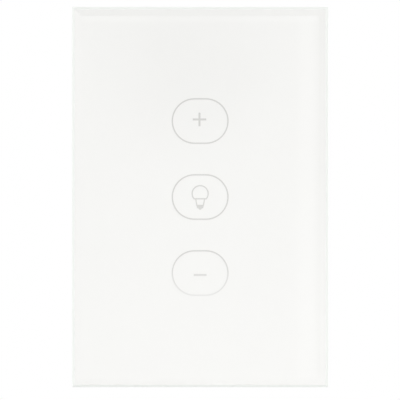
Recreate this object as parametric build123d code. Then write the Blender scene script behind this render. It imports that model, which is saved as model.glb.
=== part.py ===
from build123d import *
import os
from math import radians, sqrt, tan

# Smart dimmer switch with a glass touch panel, for a 4 x 2 inch wall box, in millimetres.
# X runs to the right, Y into the wall and Z up. The wall is at Y = 0, and the origin lies
# midway between the two wall-box screws. A face module snaps onto a base whose housing
# stands in the wall box. Three rising clamps in the base take the supply wires.

# Glass panel
PANEL_WIDTH = 79.5
PANEL_HEIGHT = 118.0
GLASS_THICKNESS = 3.0
BEVEL_WIDTH = 2.6
BEVEL_DROP = 0.25
ARRIS = 0.4
PRINT_THICKNESS = 0.2
PRINT_BORDER = 0.3
TAPE_THICKNESS = 0.4
TAPE_BORDER = 1.6
TAPE_BAND = 7.0

# Key legends: capsule rings with a plus, a lamp and a minus
KEY_PITCH = 23.6
RING_WIDTH = 17.7
RING_HEIGHT = 14.2
RING_LINE = 0.42
SYMBOL_LINE = 0.62
PLUS_SIZE = 4.2
PLUS_RISE = 0.5
PLUS_SHIFT = -0.2
MINUS_LENGTH = 4.0
MINUS_DROP = 0.6
GLOBE_DIAMETER = 5.35
GLOBE_RISE = 1.05
LAMP_LINE = 0.38
NECK_RISE = -0.75
NECK_WIDTH = 3.1
NECK_HEIGHT = 1.65
CAP_WIDTH = 2.5
CAP_HEIGHT = 1.1
TIP_WIDTH = 1.1
TIP_HEIGHT = 0.4

# Light guide behind each ring
GUIDE_MARGIN = 0.4
GUIDE_THICKNESS = 0.9
GUIDE_HOLE = 11.0
GUIDE_GAP = 0.1
GUIDE_LEDGE = 1.0

# Front frame: a tray that carries the glass and the touch board
GLASS_OVERHANG = 0.4
FRAME_PLATE = 1.6
FRAME_CORNER = 1.2
SKIRT_WALL = 1.6
SKIRT_GAP = 0.3
CHAMBER_WALL = 1.0
CHAMBER_DEPTH = 1.6
CHAMBER_GAP = 0.1
BOARD_BOSS = 5.0
BOARD_LEDGE = 1.2
NOTCH_WIDTH = 14.0
NOTCH_HEIGHT = 1.3
HOOK_WIDTH = 8.0
HOOK_ARM = 1.2
HOOK_SPACING = 60.0
BARB_LENGTH = 1.2
BARB_DEPTH = 0.45
SNAP_GAP = 0.1

# Touch board and the pieces on it
TOUCH_BOARD_MARGIN = 3.65
TOUCH_BOARD_HEIGHT = 72.0
TOUCH_BOARD_THICKNESS = 1.2
TOUCH_BOARD_CORNER = 1.5
BOARD_SCREW_X = 16.8
BOARD_SCREW_Z = 12.0
BOARD_SCREW_RADIUS = 0.9
BOARD_SCREW_HEAD_RADIUS = 1.7
BOARD_SCREW_HEAD = 1.2
SPRING_DIAMETER = 9.6
SPRING_WIRE = 0.5
SPRING_TURNS = 2
LED_WIDTH = 3.5
LED_DEPTH = 2.8
LED_HEIGHT = 1.1
CONTROLLER_WIDTH = 7.5
CONTROLLER_LENGTH = 10.3
CONTROLLER_HEIGHT = 1.7
CONTROLLER_EDGE = 0.35
CONTROLLER_AT = (-9.5, -22.0)
LEG_PITCH = 1.27
LEG_COUNT = 8
LEG_WIDTH = 0.42
LEG_REACH = 1.3
RADIO_WIDTH = 18.0
RADIO_LENGTH = 25.5
RADIO_THICKNESS = 0.8
RADIO_AT = (0.0, 14.0)
SHIELD_WIDTH = 15.8
SHIELD_LENGTH = 17.6
SHIELD_HEIGHT = 2.0
SHIELD_EDGE = 0.2
SHIELD_DROP = 3.0
CHIP_LENGTH = 1.6
CHIP_WIDTH = 0.8
CHIP_PITCH = 2.6
CHIP_COUNT = 6
CHIP_ROW_X = 9.0
CHIP_ROW_Z = -20.0

# Plug-in header between the two boards
PIN_COUNT = 8
PIN_PITCH = 2.54
PIN_SIDE = 0.64
PIN_SLOT = 0.9
PIN_END_GAP = 0.4
SOCKET_WIDTH = 2.6
SOCKET_HEIGHT = 3.0
SOCKET_FLOOR = 0.4
HEADER_HEIGHT = 2.2
HEADER_Z = -8.0
HEADER_CLEARANCE = 0.6

# Mounting yoke
BOX_SCREW_SPACING = 83.3
BOX_SLOT_LENGTH = 7.0
BOX_SLOT_WIDTH = 3.9
YOKE_SIDE_INSET = 3.25
YOKE_END_INSET = 2.0
YOKE_THICKNESS = 1.2
YOKE_WEB = 2.85
YOKE_CORNER = 5.0
WINDOW_CORNER = 2.5
STAKE_RADIUS = 1.1
STAKE_GAP = 0.05
STAKE_RECESS = 0.15
STAKE_SPACING = 40.0

# Base frame: a rim on the yoke and a pan that closes the housing
RIM_SIDE_GAP = 2.5
RIM_END_GAP = 2.0
RIM_CORNER = 3.0
RIM_THICKNESS = 1.6
LIP_WALL = 1.6
LIP_HEIGHT = 2.0
RIDGE_HEIGHT = 0.4
RIDGE_LENGTH = 1.4
SCREW_WELL_LENGTH = 13.0
SCREW_WELL_WIDTH = 10.0
FACE_GAP = 0.2
PAN_WALL = 1.4
PAN_FLOOR = 1.2
PAN_FIT = 0.3
PAN_CORNER = 2.0
PART_CLEARANCE = 0.4
STANDOFF_SIDE = 5.2
STANDOFF_HEIGHT = 2.4
BOSS_RISE = 1.2
SHEET_THICKNESS = 0.3
SHEET_BORDER = 1.0
SHEET_GAP = 0.2

# Rear housing
HOUSING_WIDTH = 52.0
HOUSING_DEPTH = 27.0
HOUSING_WALL = 1.8
HOUSING_CORNER = 4.4
HOUSING_DRAFT = 1.0
HOUSING_EDGE = 1.5
HOUSING_FIT = 0.3
POST_SIDE = 7.0
POST_FLOOR = 2.4
CASE_SCREW_INSET = 5.6
CASE_SCREW_RADIUS = 1.25
CASE_SCREW_CLEARANCE = 0.2
CASE_SCREW_HEAD_RADIUS = 2.2
CASE_SCREW_HEAD = 1.8
CASE_SCREW_LENGTH = 7.2
SCREW_FIT = 0.03
SCREW_WELL_GAP = 0.3
DRIVE_SLOT = 0.7
DRIVE_DEPTH = 0.9
VENT_WIDTH = 1.5
VENT_LENGTH = 16.0
VENT_PITCH = 3.5
VENT_COUNT = 7
VENT_RISE = 7.0
SIDE_VENT_LENGTH = 11.0
SIDE_VENT_COUNT = 6
SIDE_VENT_DEPTH = 15.5

# Power board and the pieces on it
POWER_BOARD_THICKNESS = 1.6
POWER_BOARD_FIT = 0.5
COMPONENT_EDGE = 0.5
SINK_THICKNESS = 1.5
SINK_LENGTH = 34.0
SINK_HEIGHT = 16.5
SINK_FOOT = 3.0
SINK_Z = 5.0
SINK_WALL_GAP = 0.8
TRANSISTOR_WIDTH = 10.0
TRANSISTOR_BODY = 9.2
TRANSISTOR_THICKNESS = 4.5
TRANSISTOR_TAB = 1.3
TRANSISTOR_TAB_HEIGHT = 6.0
TRANSISTOR_STANDOFF = 1.0
TRANSISTOR_SPACING = 16.0
LEAD_PITCH = 2.54
LEAD_SIDE = 0.8
CORE_WIDTH = 16.0
CORE_HEIGHT = 13.6
CORE_LIMB = 3.0
CORE_DEPTH = 5.0
BOBBIN_GAP = 0.1
BOBBIN_OVERHANG = 3.6
BOBBIN_CORNER = 1.2
TRANSFORMER_INSET = 13.0
TRANSFORMER_Z = 15.2
CHOKE_RADIUS = 6.4
CHOKE_BORE = 3.6
CHOKE_HEIGHT = 5.4
WINDING_THICKNESS = 0.9
WINDING_GAP = 0.05
WINDING_OPENING = 4.0
CHOKE_INSET = 11.6
CHOKE_Z = -6.6
BULK_RADIUS = 5.0
BULK_HEIGHT = 16.0
BULK_AT = (-6.0, -9.5)
SUPPRESSOR_WIDTH = 17.5
SUPPRESSOR_LENGTH = 7.0
SUPPRESSOR_HEIGHT = 13.5
SUPPRESSOR_AT = (-5.0, 27.2)
FUSE_RADIUS = 3.9
FUSE_HEIGHT = 8.0
FUSE_GAP = 2.2
VARISTOR_WIDTH = 9.0
VARISTOR_THICKNESS = 4.0
VARISTOR_EDGE = 1.0
VARISTOR_LEAD = 1.6
VARISTOR_AT = (-6.0, 18.0)
RECTIFIER_WIDTH = 8.4
RECTIFIER_LENGTH = 6.4
RECTIFIER_HEIGHT = 3.3
RECTIFIER_AT = (-6.0, 7.0)

# Terminal block with rising clamps, one for each wire
TERMINAL_PITCH = 10.0
TERMINAL_NAMES = ("live", "neutral", "load")
CLAMP_TURNS = 7
THREAD_PITCH = 0.6
CAGE_WIDTH = 7.6
CAGE_LENGTH = 9.0
CAGE_SIDE = 0.9
CAGE_FLOOR = 0.9
CAGE_NUT = 2.0
CAGE_BEND = 0.5
CAGE_GAP = 0.2
WIRE_SPACE = 5.0
BAR_THICKNESS = 1.0
BAR_WIDTH = 5.2
BAR_GAP = 0.3
BAR_FIT = 0.05
BAR_TAIL = 0.9
BLOCK_WALL = 1.3
BLOCK_INNER_WALL = 2.2
BLOCK_STOP = 3.4
BLOCK_LIFT = 1.2
BLOCK_FIT = 0.25
BLOCK_RECESS = 0.4
BLOCK_EDGE = 0.5
LEDGE_THICKNESS = 1.0
LEDGE_GAP = 0.1
SCREW_RADIUS = 1.75
THREAD_FIT = 0.05
NECK_FIT = 0.3
SCREW_TIP_GAP = 0.05
SCREW_HEAD_RADIUS = 2.6
SCREW_HEAD = 2.0
HEAD_WELL_FIT = 0.15
HEAD_WELL_DEPTH = 1.6
ENTRY_WIDTH = 5.8
ENTRY_FLARE = 0.6

# Depths, from the wall to the room
YOKE_FRONT = -YOKE_THICKNESS
RIM_FRONT = YOKE_FRONT - RIM_THICKNESS
LIP_FRONT = RIM_FRONT - LIP_HEIGHT
TOUCH_BACK = RIM_FRONT - FACE_GAP
TOUCH_FRONT = TOUCH_BACK - TOUCH_BOARD_THICKNESS
PLATE_BACK = TOUCH_FRONT - CHAMBER_DEPTH
PLATE_FRONT = PLATE_BACK - FRAME_PLATE
PRINT_BACK = PLATE_FRONT - TAPE_THICKNESS
GLASS_BACK = PRINT_BACK - PRINT_THICKNESS
GLASS_FRONT = GLASS_BACK - GLASS_THICKNESS
GUIDE_BACK = PRINT_BACK + GUIDE_THICKNESS
SOCKET_BACK = TOUCH_BACK + SOCKET_HEIGHT

# Depths, from the wall into the box
PAN_FRONT = SOCKET_BACK + PART_CLEARANCE
PAN_BACK = PAN_FRONT + PAN_FLOOR
POWER_FRONT = PAN_BACK + STANDOFF_HEIGHT
POWER_BACK = POWER_FRONT + POWER_BOARD_THICKNESS
HEADER_FRONT = POWER_FRONT - HEADER_HEIGHT
POST_SEAT = POWER_BACK + POST_FLOOR

# Depths in the terminal block
CAGE_TRAVEL = CLAMP_TURNS * THREAD_PITCH
CAGE_FRONT = POWER_BACK + BLOCK_LIFT + CAGE_GAP
WIRE_FRONT = CAGE_FRONT + CAGE_FLOOR
BAR_FRONT = WIRE_FRONT + WIRE_SPACE
BAR_BACK = BAR_FRONT + BAR_THICKNESS
NUT_FRONT = BAR_BACK + BAR_GAP
CAGE_BACK = NUT_FRONT + CAGE_NUT
CELL_BACK = CAGE_BACK + CAGE_TRAVEL + CAGE_GAP
LEDGE_BACK = CELL_BACK + LEDGE_THICKNESS
HEAD_FRONT = LEDGE_BACK + LEDGE_GAP
HEAD_BACK = HEAD_FRONT + SCREW_HEAD
BLOCK_BACK = HEAD_BACK + HEAD_WELL_DEPTH

# Widths and heights that follow
KEY_HEIGHTS = (KEY_PITCH, 0.0, -KEY_PITCH)
KEY_NAMES = ("plus", "lamp", "minus")
FRAME_WIDTH = PANEL_WIDTH - 2 * GLASS_OVERHANG
FRAME_HEIGHT = PANEL_HEIGHT - 2 * GLASS_OVERHANG
RIM_WIDTH = FRAME_WIDTH - 2 * SKIRT_WALL - 2 * RIM_SIDE_GAP
RIM_HEIGHT = FRAME_HEIGHT - 2 * SKIRT_WALL - 2 * RIM_END_GAP
YOKE_WIDTH = RIM_WIDTH - 2 * YOKE_SIDE_INSET
YOKE_HEIGHT = RIM_HEIGHT - 2 * YOKE_END_INSET
TOUCH_BOARD_WIDTH = RIM_WIDTH - 2 * LIP_WALL - 2 * TOUCH_BOARD_MARGIN
GUIDE_WIDTH = RING_WIDTH + 2 * GUIDE_MARGIN
GUIDE_HEIGHT = RING_HEIGHT + 2 * GUIDE_MARGIN
HEADER_LENGTH = PIN_COUNT * PIN_PITCH
HOUSING_HEIGHT = BOX_SCREW_SPACING - BOX_SLOT_LENGTH - 2 * YOKE_WEB - 2 * HOUSING_FIT
INSIDE_WIDTH = HOUSING_WIDTH - 2 * HOUSING_WALL
INSIDE_HEIGHT = HOUSING_HEIGHT - 2 * HOUSING_WALL
PAN_WIDTH = INSIDE_WIDTH - 2 * PAN_FIT
PAN_HEIGHT = INSIDE_HEIGHT - 2 * PAN_FIT
HOUSING_LEAN = (HOUSING_DEPTH - YOKE_FRONT) * tan(radians(HOUSING_DRAFT))
BOARD_LEAN = (POWER_BACK - YOKE_FRONT) * tan(radians(HOUSING_DRAFT))
POWER_BOARD_WIDTH = INSIDE_WIDTH - 2 * BOARD_LEAN - 2 * POWER_BOARD_FIT
POWER_BOARD_HEIGHT = INSIDE_HEIGHT - 2 * BOARD_LEAN - 2 * POWER_BOARD_FIT
CASE_SCREW_X = HOUSING_WIDTH / 2 - CASE_SCREW_INSET
CASE_SCREW_Z = HOUSING_HEIGHT / 2 - CASE_SCREW_INSET
TRANSFORMER_AT = (POWER_BOARD_WIDTH / 2 - TRANSFORMER_INSET, TRANSFORMER_Z)
CHOKE_AT = (POWER_BOARD_WIDTH / 2 - CHOKE_INSET, CHOKE_Z)
FUSE_AT = (SUPPRESSOR_AT[0] + SUPPRESSOR_WIDTH / 2 + FUSE_GAP + FUSE_RADIUS, SUPPRESSOR_AT[1])
STAKE_Z = (YOKE_HEIGHT + HOUSING_HEIGHT + 2 * HOUSING_FIT) / 4
BLOCK_BOTTOM = -HOUSING_HEIGHT / 2 + HOUSING_LEAN + BLOCK_RECESS
CELL_WIDTH = CAGE_WIDTH + 2 * CAGE_GAP
CELL_BOTTOM = BLOCK_BOTTOM + BLOCK_WALL
CELL_TOP = CELL_BOTTOM + CAGE_LENGTH + 2 * CAGE_GAP
CAGE_Z = (CELL_BOTTOM + CELL_TOP) / 2
BAR_LEG_BOTTOM = CELL_TOP + BLOCK_STOP
BAR_LEG_TOP = BAR_LEG_BOTTOM + BAR_THICKNESS
BLOCK_TOP = BAR_LEG_TOP + BLOCK_INNER_WALL
BLOCK_WIDTH = (len(TERMINAL_NAMES) - 1) * TERMINAL_PITCH + CELL_WIDTH + 2 * BLOCK_WALL
TERMINALS = [
    (name, (place - (len(TERMINAL_NAMES) - 1) / 2) * TERMINAL_PITCH)
    for place, name in enumerate(TERMINAL_NAMES)
]
CUT = 1.0

INTO_WALL = Plane(origin=(0, 0, 0), x_dir=(-1, 0, 0), z_dir=(0, 1, 0))


def slab(outline, front, back):
    """Extrude an outline drawn in X and Z from one depth to another."""
    return extrude(Plane.XZ.offset(-back) * outline, amount=back - front)


def at(place, outline):
    """Move a flat outline to a place given in X and Z."""
    return Pos(place[0], place[1]) * outline


def corners(x, z):
    """Give four places, symmetric about the centre."""
    return [(side * x, end * z) for side in (-1, 1) for end in (-1, 1)]


def board_screw_places():
    """Give the places of the two touch-board screws, at opposite corners."""
    return [(-BOARD_SCREW_X, BOARD_SCREW_Z), (BOARD_SCREW_X, -BOARD_SCREW_Z)]


def cut_rectangle(width, height, corner):
    """Draw a rectangle with its corners cut off."""
    outline = Rectangle(width, height)
    return chamfer(outline.vertices(), corner)


def upright_slot(length, width):
    """Draw a slot that runs up and down."""
    return Rot(0, 0, 90) * SlotOverall(length, width)


def ring_outline():
    """Draw the thin capsule line round a key."""
    inner_width = RING_WIDTH - 2 * RING_LINE
    inner_height = RING_HEIGHT - 2 * RING_LINE
    return SlotOverall(RING_WIDTH, RING_HEIGHT) - SlotOverall(inner_width, inner_height)


def plus_outline():
    """Draw the plus, slightly above its key's centre and to the left of it."""
    cross = Rectangle(PLUS_SIZE, SYMBOL_LINE) + Rectangle(SYMBOL_LINE, PLUS_SIZE)
    return at((PLUS_SHIFT, PLUS_RISE), cross)


def minus_outline():
    """Draw the minus, slightly below its key's centre."""
    return at((0, -MINUS_DROP), Rectangle(MINUS_LENGTH, SYMBOL_LINE))


def taper_outline(top_width, foot_width, top, height):
    """Draw a trapezium that hangs down from a level."""
    return Polygon(
        (-top_width / 2, top),
        (-foot_width / 2, top - height),
        (foot_width / 2, top - height),
        (top_width / 2, top),
        align=None,
    )


def lamp_outline():
    """Draw the lamp: an open globe on a chord, an open neck and a solid cap."""
    radius = GLOBE_DIAMETER / 2
    chord_drop = GLOBE_RISE - NECK_RISE
    half_chord = sqrt(radius**2 - chord_drop**2)
    globe = Circle(radius) - Circle(radius - LAMP_LINE)
    globe -= at((0, -chord_drop - radius), Rectangle(2 * radius, 2 * radius))
    chord = at((0, NECK_RISE + LAMP_LINE / 2), Rectangle(2 * half_chord, LAMP_LINE))
    neck = taper_outline(NECK_WIDTH, CAP_WIDTH, NECK_RISE, NECK_HEIGHT)
    inner_top = NECK_WIDTH - 2 * LAMP_LINE
    inner_foot = CAP_WIDTH - 2 * LAMP_LINE
    neck -= taper_outline(inner_top, inner_foot, NECK_RISE, NECK_HEIGHT)
    cap_top = NECK_RISE - NECK_HEIGHT
    cap = taper_outline(CAP_WIDTH, (CAP_WIDTH + TIP_WIDTH) / 2, cap_top, CAP_HEIGHT)
    tip = taper_outline(TIP_WIDTH, TIP_WIDTH / 2, cap_top - CAP_HEIGHT, TIP_HEIGHT)
    return at((0, GLOBE_RISE), globe) + chord + neck + cap + tip


def legend_outline():
    """Draw all three rings with their symbols."""
    symbols = (plus_outline(), lamp_outline(), minus_outline())
    legend = Sketch()
    for height, symbol in zip(KEY_HEIGHTS, symbols):
        legend += at((0, height), ring_outline())
        legend += at((0, height), symbol)
    return legend


def glass_panel():
    """Make the glass, with a shallow polished bevel and a small arris round its front."""
    shoulder = GLASS_FRONT + BEVEL_DROP
    body = slab(Rectangle(PANEL_WIDTH, PANEL_HEIGHT), shoulder, GLASS_BACK)
    body = chamfer(body.faces().sort_by(Axis.Y)[0].edges(), ARRIS)
    foot = Rectangle(PANEL_WIDTH - 2 * ARRIS, PANEL_HEIGHT - 2 * ARRIS)
    table = Rectangle(PANEL_WIDTH - 2 * BEVEL_WIDTH, PANEL_HEIGHT - 2 * BEVEL_WIDTH)
    crown = loft([Plane.XZ.offset(-shoulder) * foot, Plane.XZ.offset(-GLASS_FRONT) * table])
    return body + crown


def back_print():
    """Make the white ink layer, open at the rings and symbols."""
    field = Rectangle(PANEL_WIDTH - 2 * PRINT_BORDER, PANEL_HEIGHT - 2 * PRINT_BORDER)
    return slab(field - legend_outline(), GLASS_BACK, PRINT_BACK)


def legend_print():
    """Make the grey translucent ink that fills the openings of the white layer."""
    return slab(legend_outline(), GLASS_BACK, PRINT_BACK)


def bonding_tape():
    """Make the foam tape that bonds the glass to the frame."""
    width = PANEL_WIDTH - 2 * TAPE_BORDER
    height = PANEL_HEIGHT - 2 * TAPE_BORDER
    band = Rectangle(width, height) - Rectangle(width - 2 * TAPE_BAND, height - 2 * TAPE_BAND)
    return slab(band, PRINT_BACK, PLATE_FRONT)


def light_guide(height):
    """Make the opal plate that spreads the light behind a ring, open for the touch spring."""
    outline = Rectangle(GUIDE_WIDTH, GUIDE_HEIGHT) - Circle(GUIDE_HOLE / 2)
    return slab(at((0, height), outline), PRINT_BACK, GUIDE_BACK)


def snap_hook(height):
    """Make the right-hand hook at a height: an arm with a barb that faces inwards."""
    barb_tip = RIM_WIDTH / 2 + RIDGE_HEIGHT + SNAP_GAP
    arm_inner = barb_tip + BARB_DEPTH
    arm_end = RIM_FRONT + BARB_LENGTH
    profile = Polygon(
        (arm_inner, PLATE_BACK),
        (arm_inner + HOOK_ARM, PLATE_BACK),
        (arm_inner + HOOK_ARM, arm_end),
        (arm_inner, arm_end),
        (barb_tip, arm_end - BARB_LENGTH / 2),
        (arm_inner, arm_end - BARB_LENGTH),
        align=None,
    )
    return extrude(Plane.XY.offset(height - HOOK_WIDTH / 2) * profile, amount=HOOK_WIDTH)


def front_frame():
    """Make the tray: plate, skirt, light chambers, board bosses, hooks and pry notch."""
    outline = RectangleRounded(FRAME_WIDTH, FRAME_HEIGHT, FRAME_CORNER)
    inside = Rectangle(FRAME_WIDTH - 2 * SKIRT_WALL, FRAME_HEIGHT - 2 * SKIRT_WALL)
    frame = slab(outline, PLATE_FRONT, -SKIRT_GAP) - slab(inside, PLATE_BACK, CUT)
    pocket = Rectangle(GUIDE_WIDTH + 2 * GUIDE_GAP, GUIDE_HEIGHT + 2 * GUIDE_GAP)
    well = Rectangle(GUIDE_WIDTH - 2 * GUIDE_LEDGE, GUIDE_HEIGHT - 2 * GUIDE_LEDGE)
    collar_margin = CHAMBER_WALL - GUIDE_LEDGE
    collar = Rectangle(GUIDE_WIDTH + 2 * collar_margin, GUIDE_HEIGHT + 2 * collar_margin)
    for height in KEY_HEIGHTS:
        frame += slab(at((0, height), collar), PLATE_BACK, TOUCH_FRONT - CHAMBER_GAP)
    for place in board_screw_places():
        frame += slab(at(place, Circle(BOARD_BOSS / 2)), PLATE_BACK, TOUCH_FRONT)
    for side in (-1, 1):
        ledge = Rectangle(BOARD_LEDGE, TOUCH_BOARD_HEIGHT)
        ledge_x = side * (TOUCH_BOARD_WIDTH - BOARD_LEDGE) / 2
        frame += slab(at((ledge_x, 0), ledge), PLATE_BACK, TOUCH_FRONT)
    for height in KEY_HEIGHTS:
        frame -= slab(at((0, height), pocket), PLATE_FRONT - CUT, GUIDE_BACK)
        frame -= slab(at((0, height), well), PLATE_FRONT - CUT, TOUCH_FRONT)
    for place in board_screw_places():
        pilot = Circle(BOARD_SCREW_RADIUS + SCREW_FIT)
        frame -= slab(at(place, pilot), PLATE_BACK, TOUCH_FRONT + CUT)
    for end in (-1, 1):
        hook = snap_hook(end * HOOK_SPACING / 2)
        frame += hook
        frame += mirror(hook, about=Plane.YZ)
    notch_z = -FRAME_HEIGHT / 2
    notch = Rectangle(NOTCH_WIDTH, 2 * SKIRT_WALL + CUT)
    return frame - slab(at((0, notch_z), notch), -SKIRT_GAP - NOTCH_HEIGHT, CUT)


def touch_board():
    """Make the board that carries the touch springs, with its screw holes."""
    outline = cut_rectangle(TOUCH_BOARD_WIDTH, TOUCH_BOARD_HEIGHT, TOUCH_BOARD_CORNER)
    for place in board_screw_places():
        outline -= at(place, Circle(BOARD_SCREW_RADIUS + CASE_SCREW_CLEARANCE))
    return slab(outline, TOUCH_FRONT, TOUCH_BACK)


def touch_spring(height):
    """Make the coil spring that links the board to the back of the glass print."""
    free = TOUCH_FRONT - PRINT_BACK - SPRING_WIRE - 2 * SCREW_FIT
    start = (0, TOUCH_FRONT - SCREW_FIT - SPRING_WIRE / 2, height)
    radius = (SPRING_DIAMETER - SPRING_WIRE) / 2
    path = Helix(free / SPRING_TURNS, free, radius, center=start, direction=(0, -1, 0))
    section = Plane(origin=path @ 0, z_dir=path % 0) * RegularPolygon(SPRING_WIRE / sqrt(2), 4)
    return sweep(section, path=path, is_frenet=True)


def key_leds():
    """Make one lamp chip in the middle of each spring."""
    chips = [at((0, height), Rectangle(LED_WIDTH, LED_DEPTH)) for height in KEY_HEIGHTS]
    return Part() + [slab(chip, TOUCH_FRONT - LED_HEIGHT, TOUCH_FRONT) for chip in chips]


def screw(radius, length, head_radius, head_height):
    """Make a slotted cheese-head screw along Y, with the seat of its head at Y = 0."""
    shank = slab(Circle(radius), -length, 0)
    head = slab(Circle(head_radius), 0, head_height)
    slot_outline = Rectangle(2 * head_radius + CUT, DRIVE_SLOT)
    slot = slab(slot_outline, head_height - DRIVE_DEPTH, head_height + CUT)
    return shank + head - slot


def board_screws():
    """Make the two screws that hold the touch board to the frame."""
    length = TOUCH_BACK - PLATE_BACK - PIN_END_GAP
    one = screw(BOARD_SCREW_RADIUS, length, BOARD_SCREW_HEAD_RADIUS, BOARD_SCREW_HEAD)
    return Part() + [Pos(x, TOUCH_BACK, z) * one for x, z in board_screw_places()]


def touch_controller():
    """Make the controller chip with its two rows of legs."""
    x, z = CONTROLLER_AT
    outline = at((x, z), Rectangle(CONTROLLER_WIDTH, CONTROLLER_LENGTH))
    body = slab(outline, TOUCH_BACK, TOUCH_BACK + CONTROLLER_HEIGHT)
    body = chamfer(body.faces().sort_by(Axis.Y)[-1].edges(), CONTROLLER_EDGE)
    for side in (-1, 1):
        for leg in range(LEG_COUNT):
            leg_x = x + side * (CONTROLLER_WIDTH + LEG_REACH) / 2
            leg_z = z + (leg - (LEG_COUNT - 1) / 2) * LEG_PITCH
            foot = at((leg_x, leg_z), Rectangle(LEG_REACH, LEG_WIDTH))
            body += slab(foot, TOUCH_BACK, TOUCH_BACK + LEG_WIDTH / 2)
    return body


def radio_module():
    """Make the small board of the radio."""
    outline = at(RADIO_AT, Rectangle(RADIO_WIDTH, RADIO_LENGTH))
    return slab(outline, TOUCH_BACK, TOUCH_BACK + RADIO_THICKNESS)


def shield_can():
    """Make the folded metal lid over the radio's chips."""
    x, z = RADIO_AT
    seat = TOUCH_BACK + RADIO_THICKNESS
    outline = at((x, z - SHIELD_DROP), Rectangle(SHIELD_WIDTH, SHIELD_LENGTH))
    can = slab(outline, seat, seat + SHIELD_HEIGHT)
    return chamfer(can.faces().sort_by(Axis.Y)[-1].edges(), SHIELD_EDGE)


def chip_parts():
    """Make two rows of small resistors and capacitors beside the controller."""
    chips = []
    for row in range(2):
        for place in range(CHIP_COUNT):
            x = CHIP_ROW_X + (place - (CHIP_COUNT - 1) / 2) * CHIP_PITCH
            z = CHIP_ROW_Z - row * 2 * CHIP_PITCH
            chip = at((x, z), Rectangle(CHIP_WIDTH, CHIP_LENGTH))
            chips.append(slab(chip, TOUCH_BACK, TOUCH_BACK + CHIP_WIDTH))
    return Part() + chips


def pin_places():
    """Give the place of each header pin."""
    return [((pin - (PIN_COUNT - 1) / 2) * PIN_PITCH, HEADER_Z) for pin in range(PIN_COUNT)]


def header_socket():
    """Make the socket on the touch board, with a square slot for each pin."""
    body = slab(at((0, HEADER_Z), Rectangle(HEADER_LENGTH, SOCKET_WIDTH)), TOUCH_BACK, SOCKET_BACK)
    for place in pin_places():
        slot = at(place, Rectangle(PIN_SLOT, PIN_SLOT))
        body -= slab(slot, TOUCH_BACK + SOCKET_FLOOR, SOCKET_BACK + CUT)
    return body


def header_body():
    """Make the plastic foot of the header on the power board."""
    body = slab(at((0, HEADER_Z), Rectangle(HEADER_LENGTH, SOCKET_WIDTH)), HEADER_FRONT, POWER_FRONT)
    for place in pin_places():
        body -= slab(at(place, Rectangle(PIN_SIDE, PIN_SIDE)), HEADER_FRONT - CUT, POWER_FRONT + CUT)
    return body


def header_pins():
    """Make the square pins, from the power board into the socket."""
    tip = TOUCH_BACK + SOCKET_FLOOR + PIN_END_GAP
    pins = [at(place, Rectangle(PIN_SIDE, PIN_SIDE)) for place in pin_places()]
    return Part() + [slab(pin, tip, POWER_FRONT) for pin in pins]


def mounting_yoke():
    """Make the steel yoke: wall-box slots, a window for the housing and four stake holes."""
    outline = RectangleRounded(YOKE_WIDTH, YOKE_HEIGHT, YOKE_CORNER)
    window_width = HOUSING_WIDTH + 2 * HOUSING_FIT
    window_height = HOUSING_HEIGHT + 2 * HOUSING_FIT
    outline -= cut_rectangle(window_width, window_height, WINDOW_CORNER)
    for end in (-1, 1):
        outline -= at((0, end * BOX_SCREW_SPACING / 2), upright_slot(BOX_SLOT_LENGTH, BOX_SLOT_WIDTH))
    for place in corners(STAKE_SPACING / 2, STAKE_Z):
        outline -= at(place, Circle(STAKE_RADIUS + STAKE_GAP))
    return slab(outline, YOKE_FRONT, 0)


def snap_ridge(height):
    """Make the right-hand ridge that a hook snaps over."""
    wall = RIM_WIDTH / 2
    back = RIM_FRONT - SNAP_GAP
    profile = Polygon(
        (wall - LIP_WALL / 2, back),
        (wall, back),
        (wall + RIDGE_HEIGHT, back - RIDGE_HEIGHT),
        (wall + RIDGE_HEIGHT, back - RIDGE_LENGTH + RIDGE_HEIGHT),
        (wall, back - RIDGE_LENGTH),
        (wall - LIP_WALL / 2, back - RIDGE_LENGTH),
        align=None,
    )
    return extrude(Plane.XY.offset(height - HOOK_WIDTH / 2) * profile, amount=HOOK_WIDTH)


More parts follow.
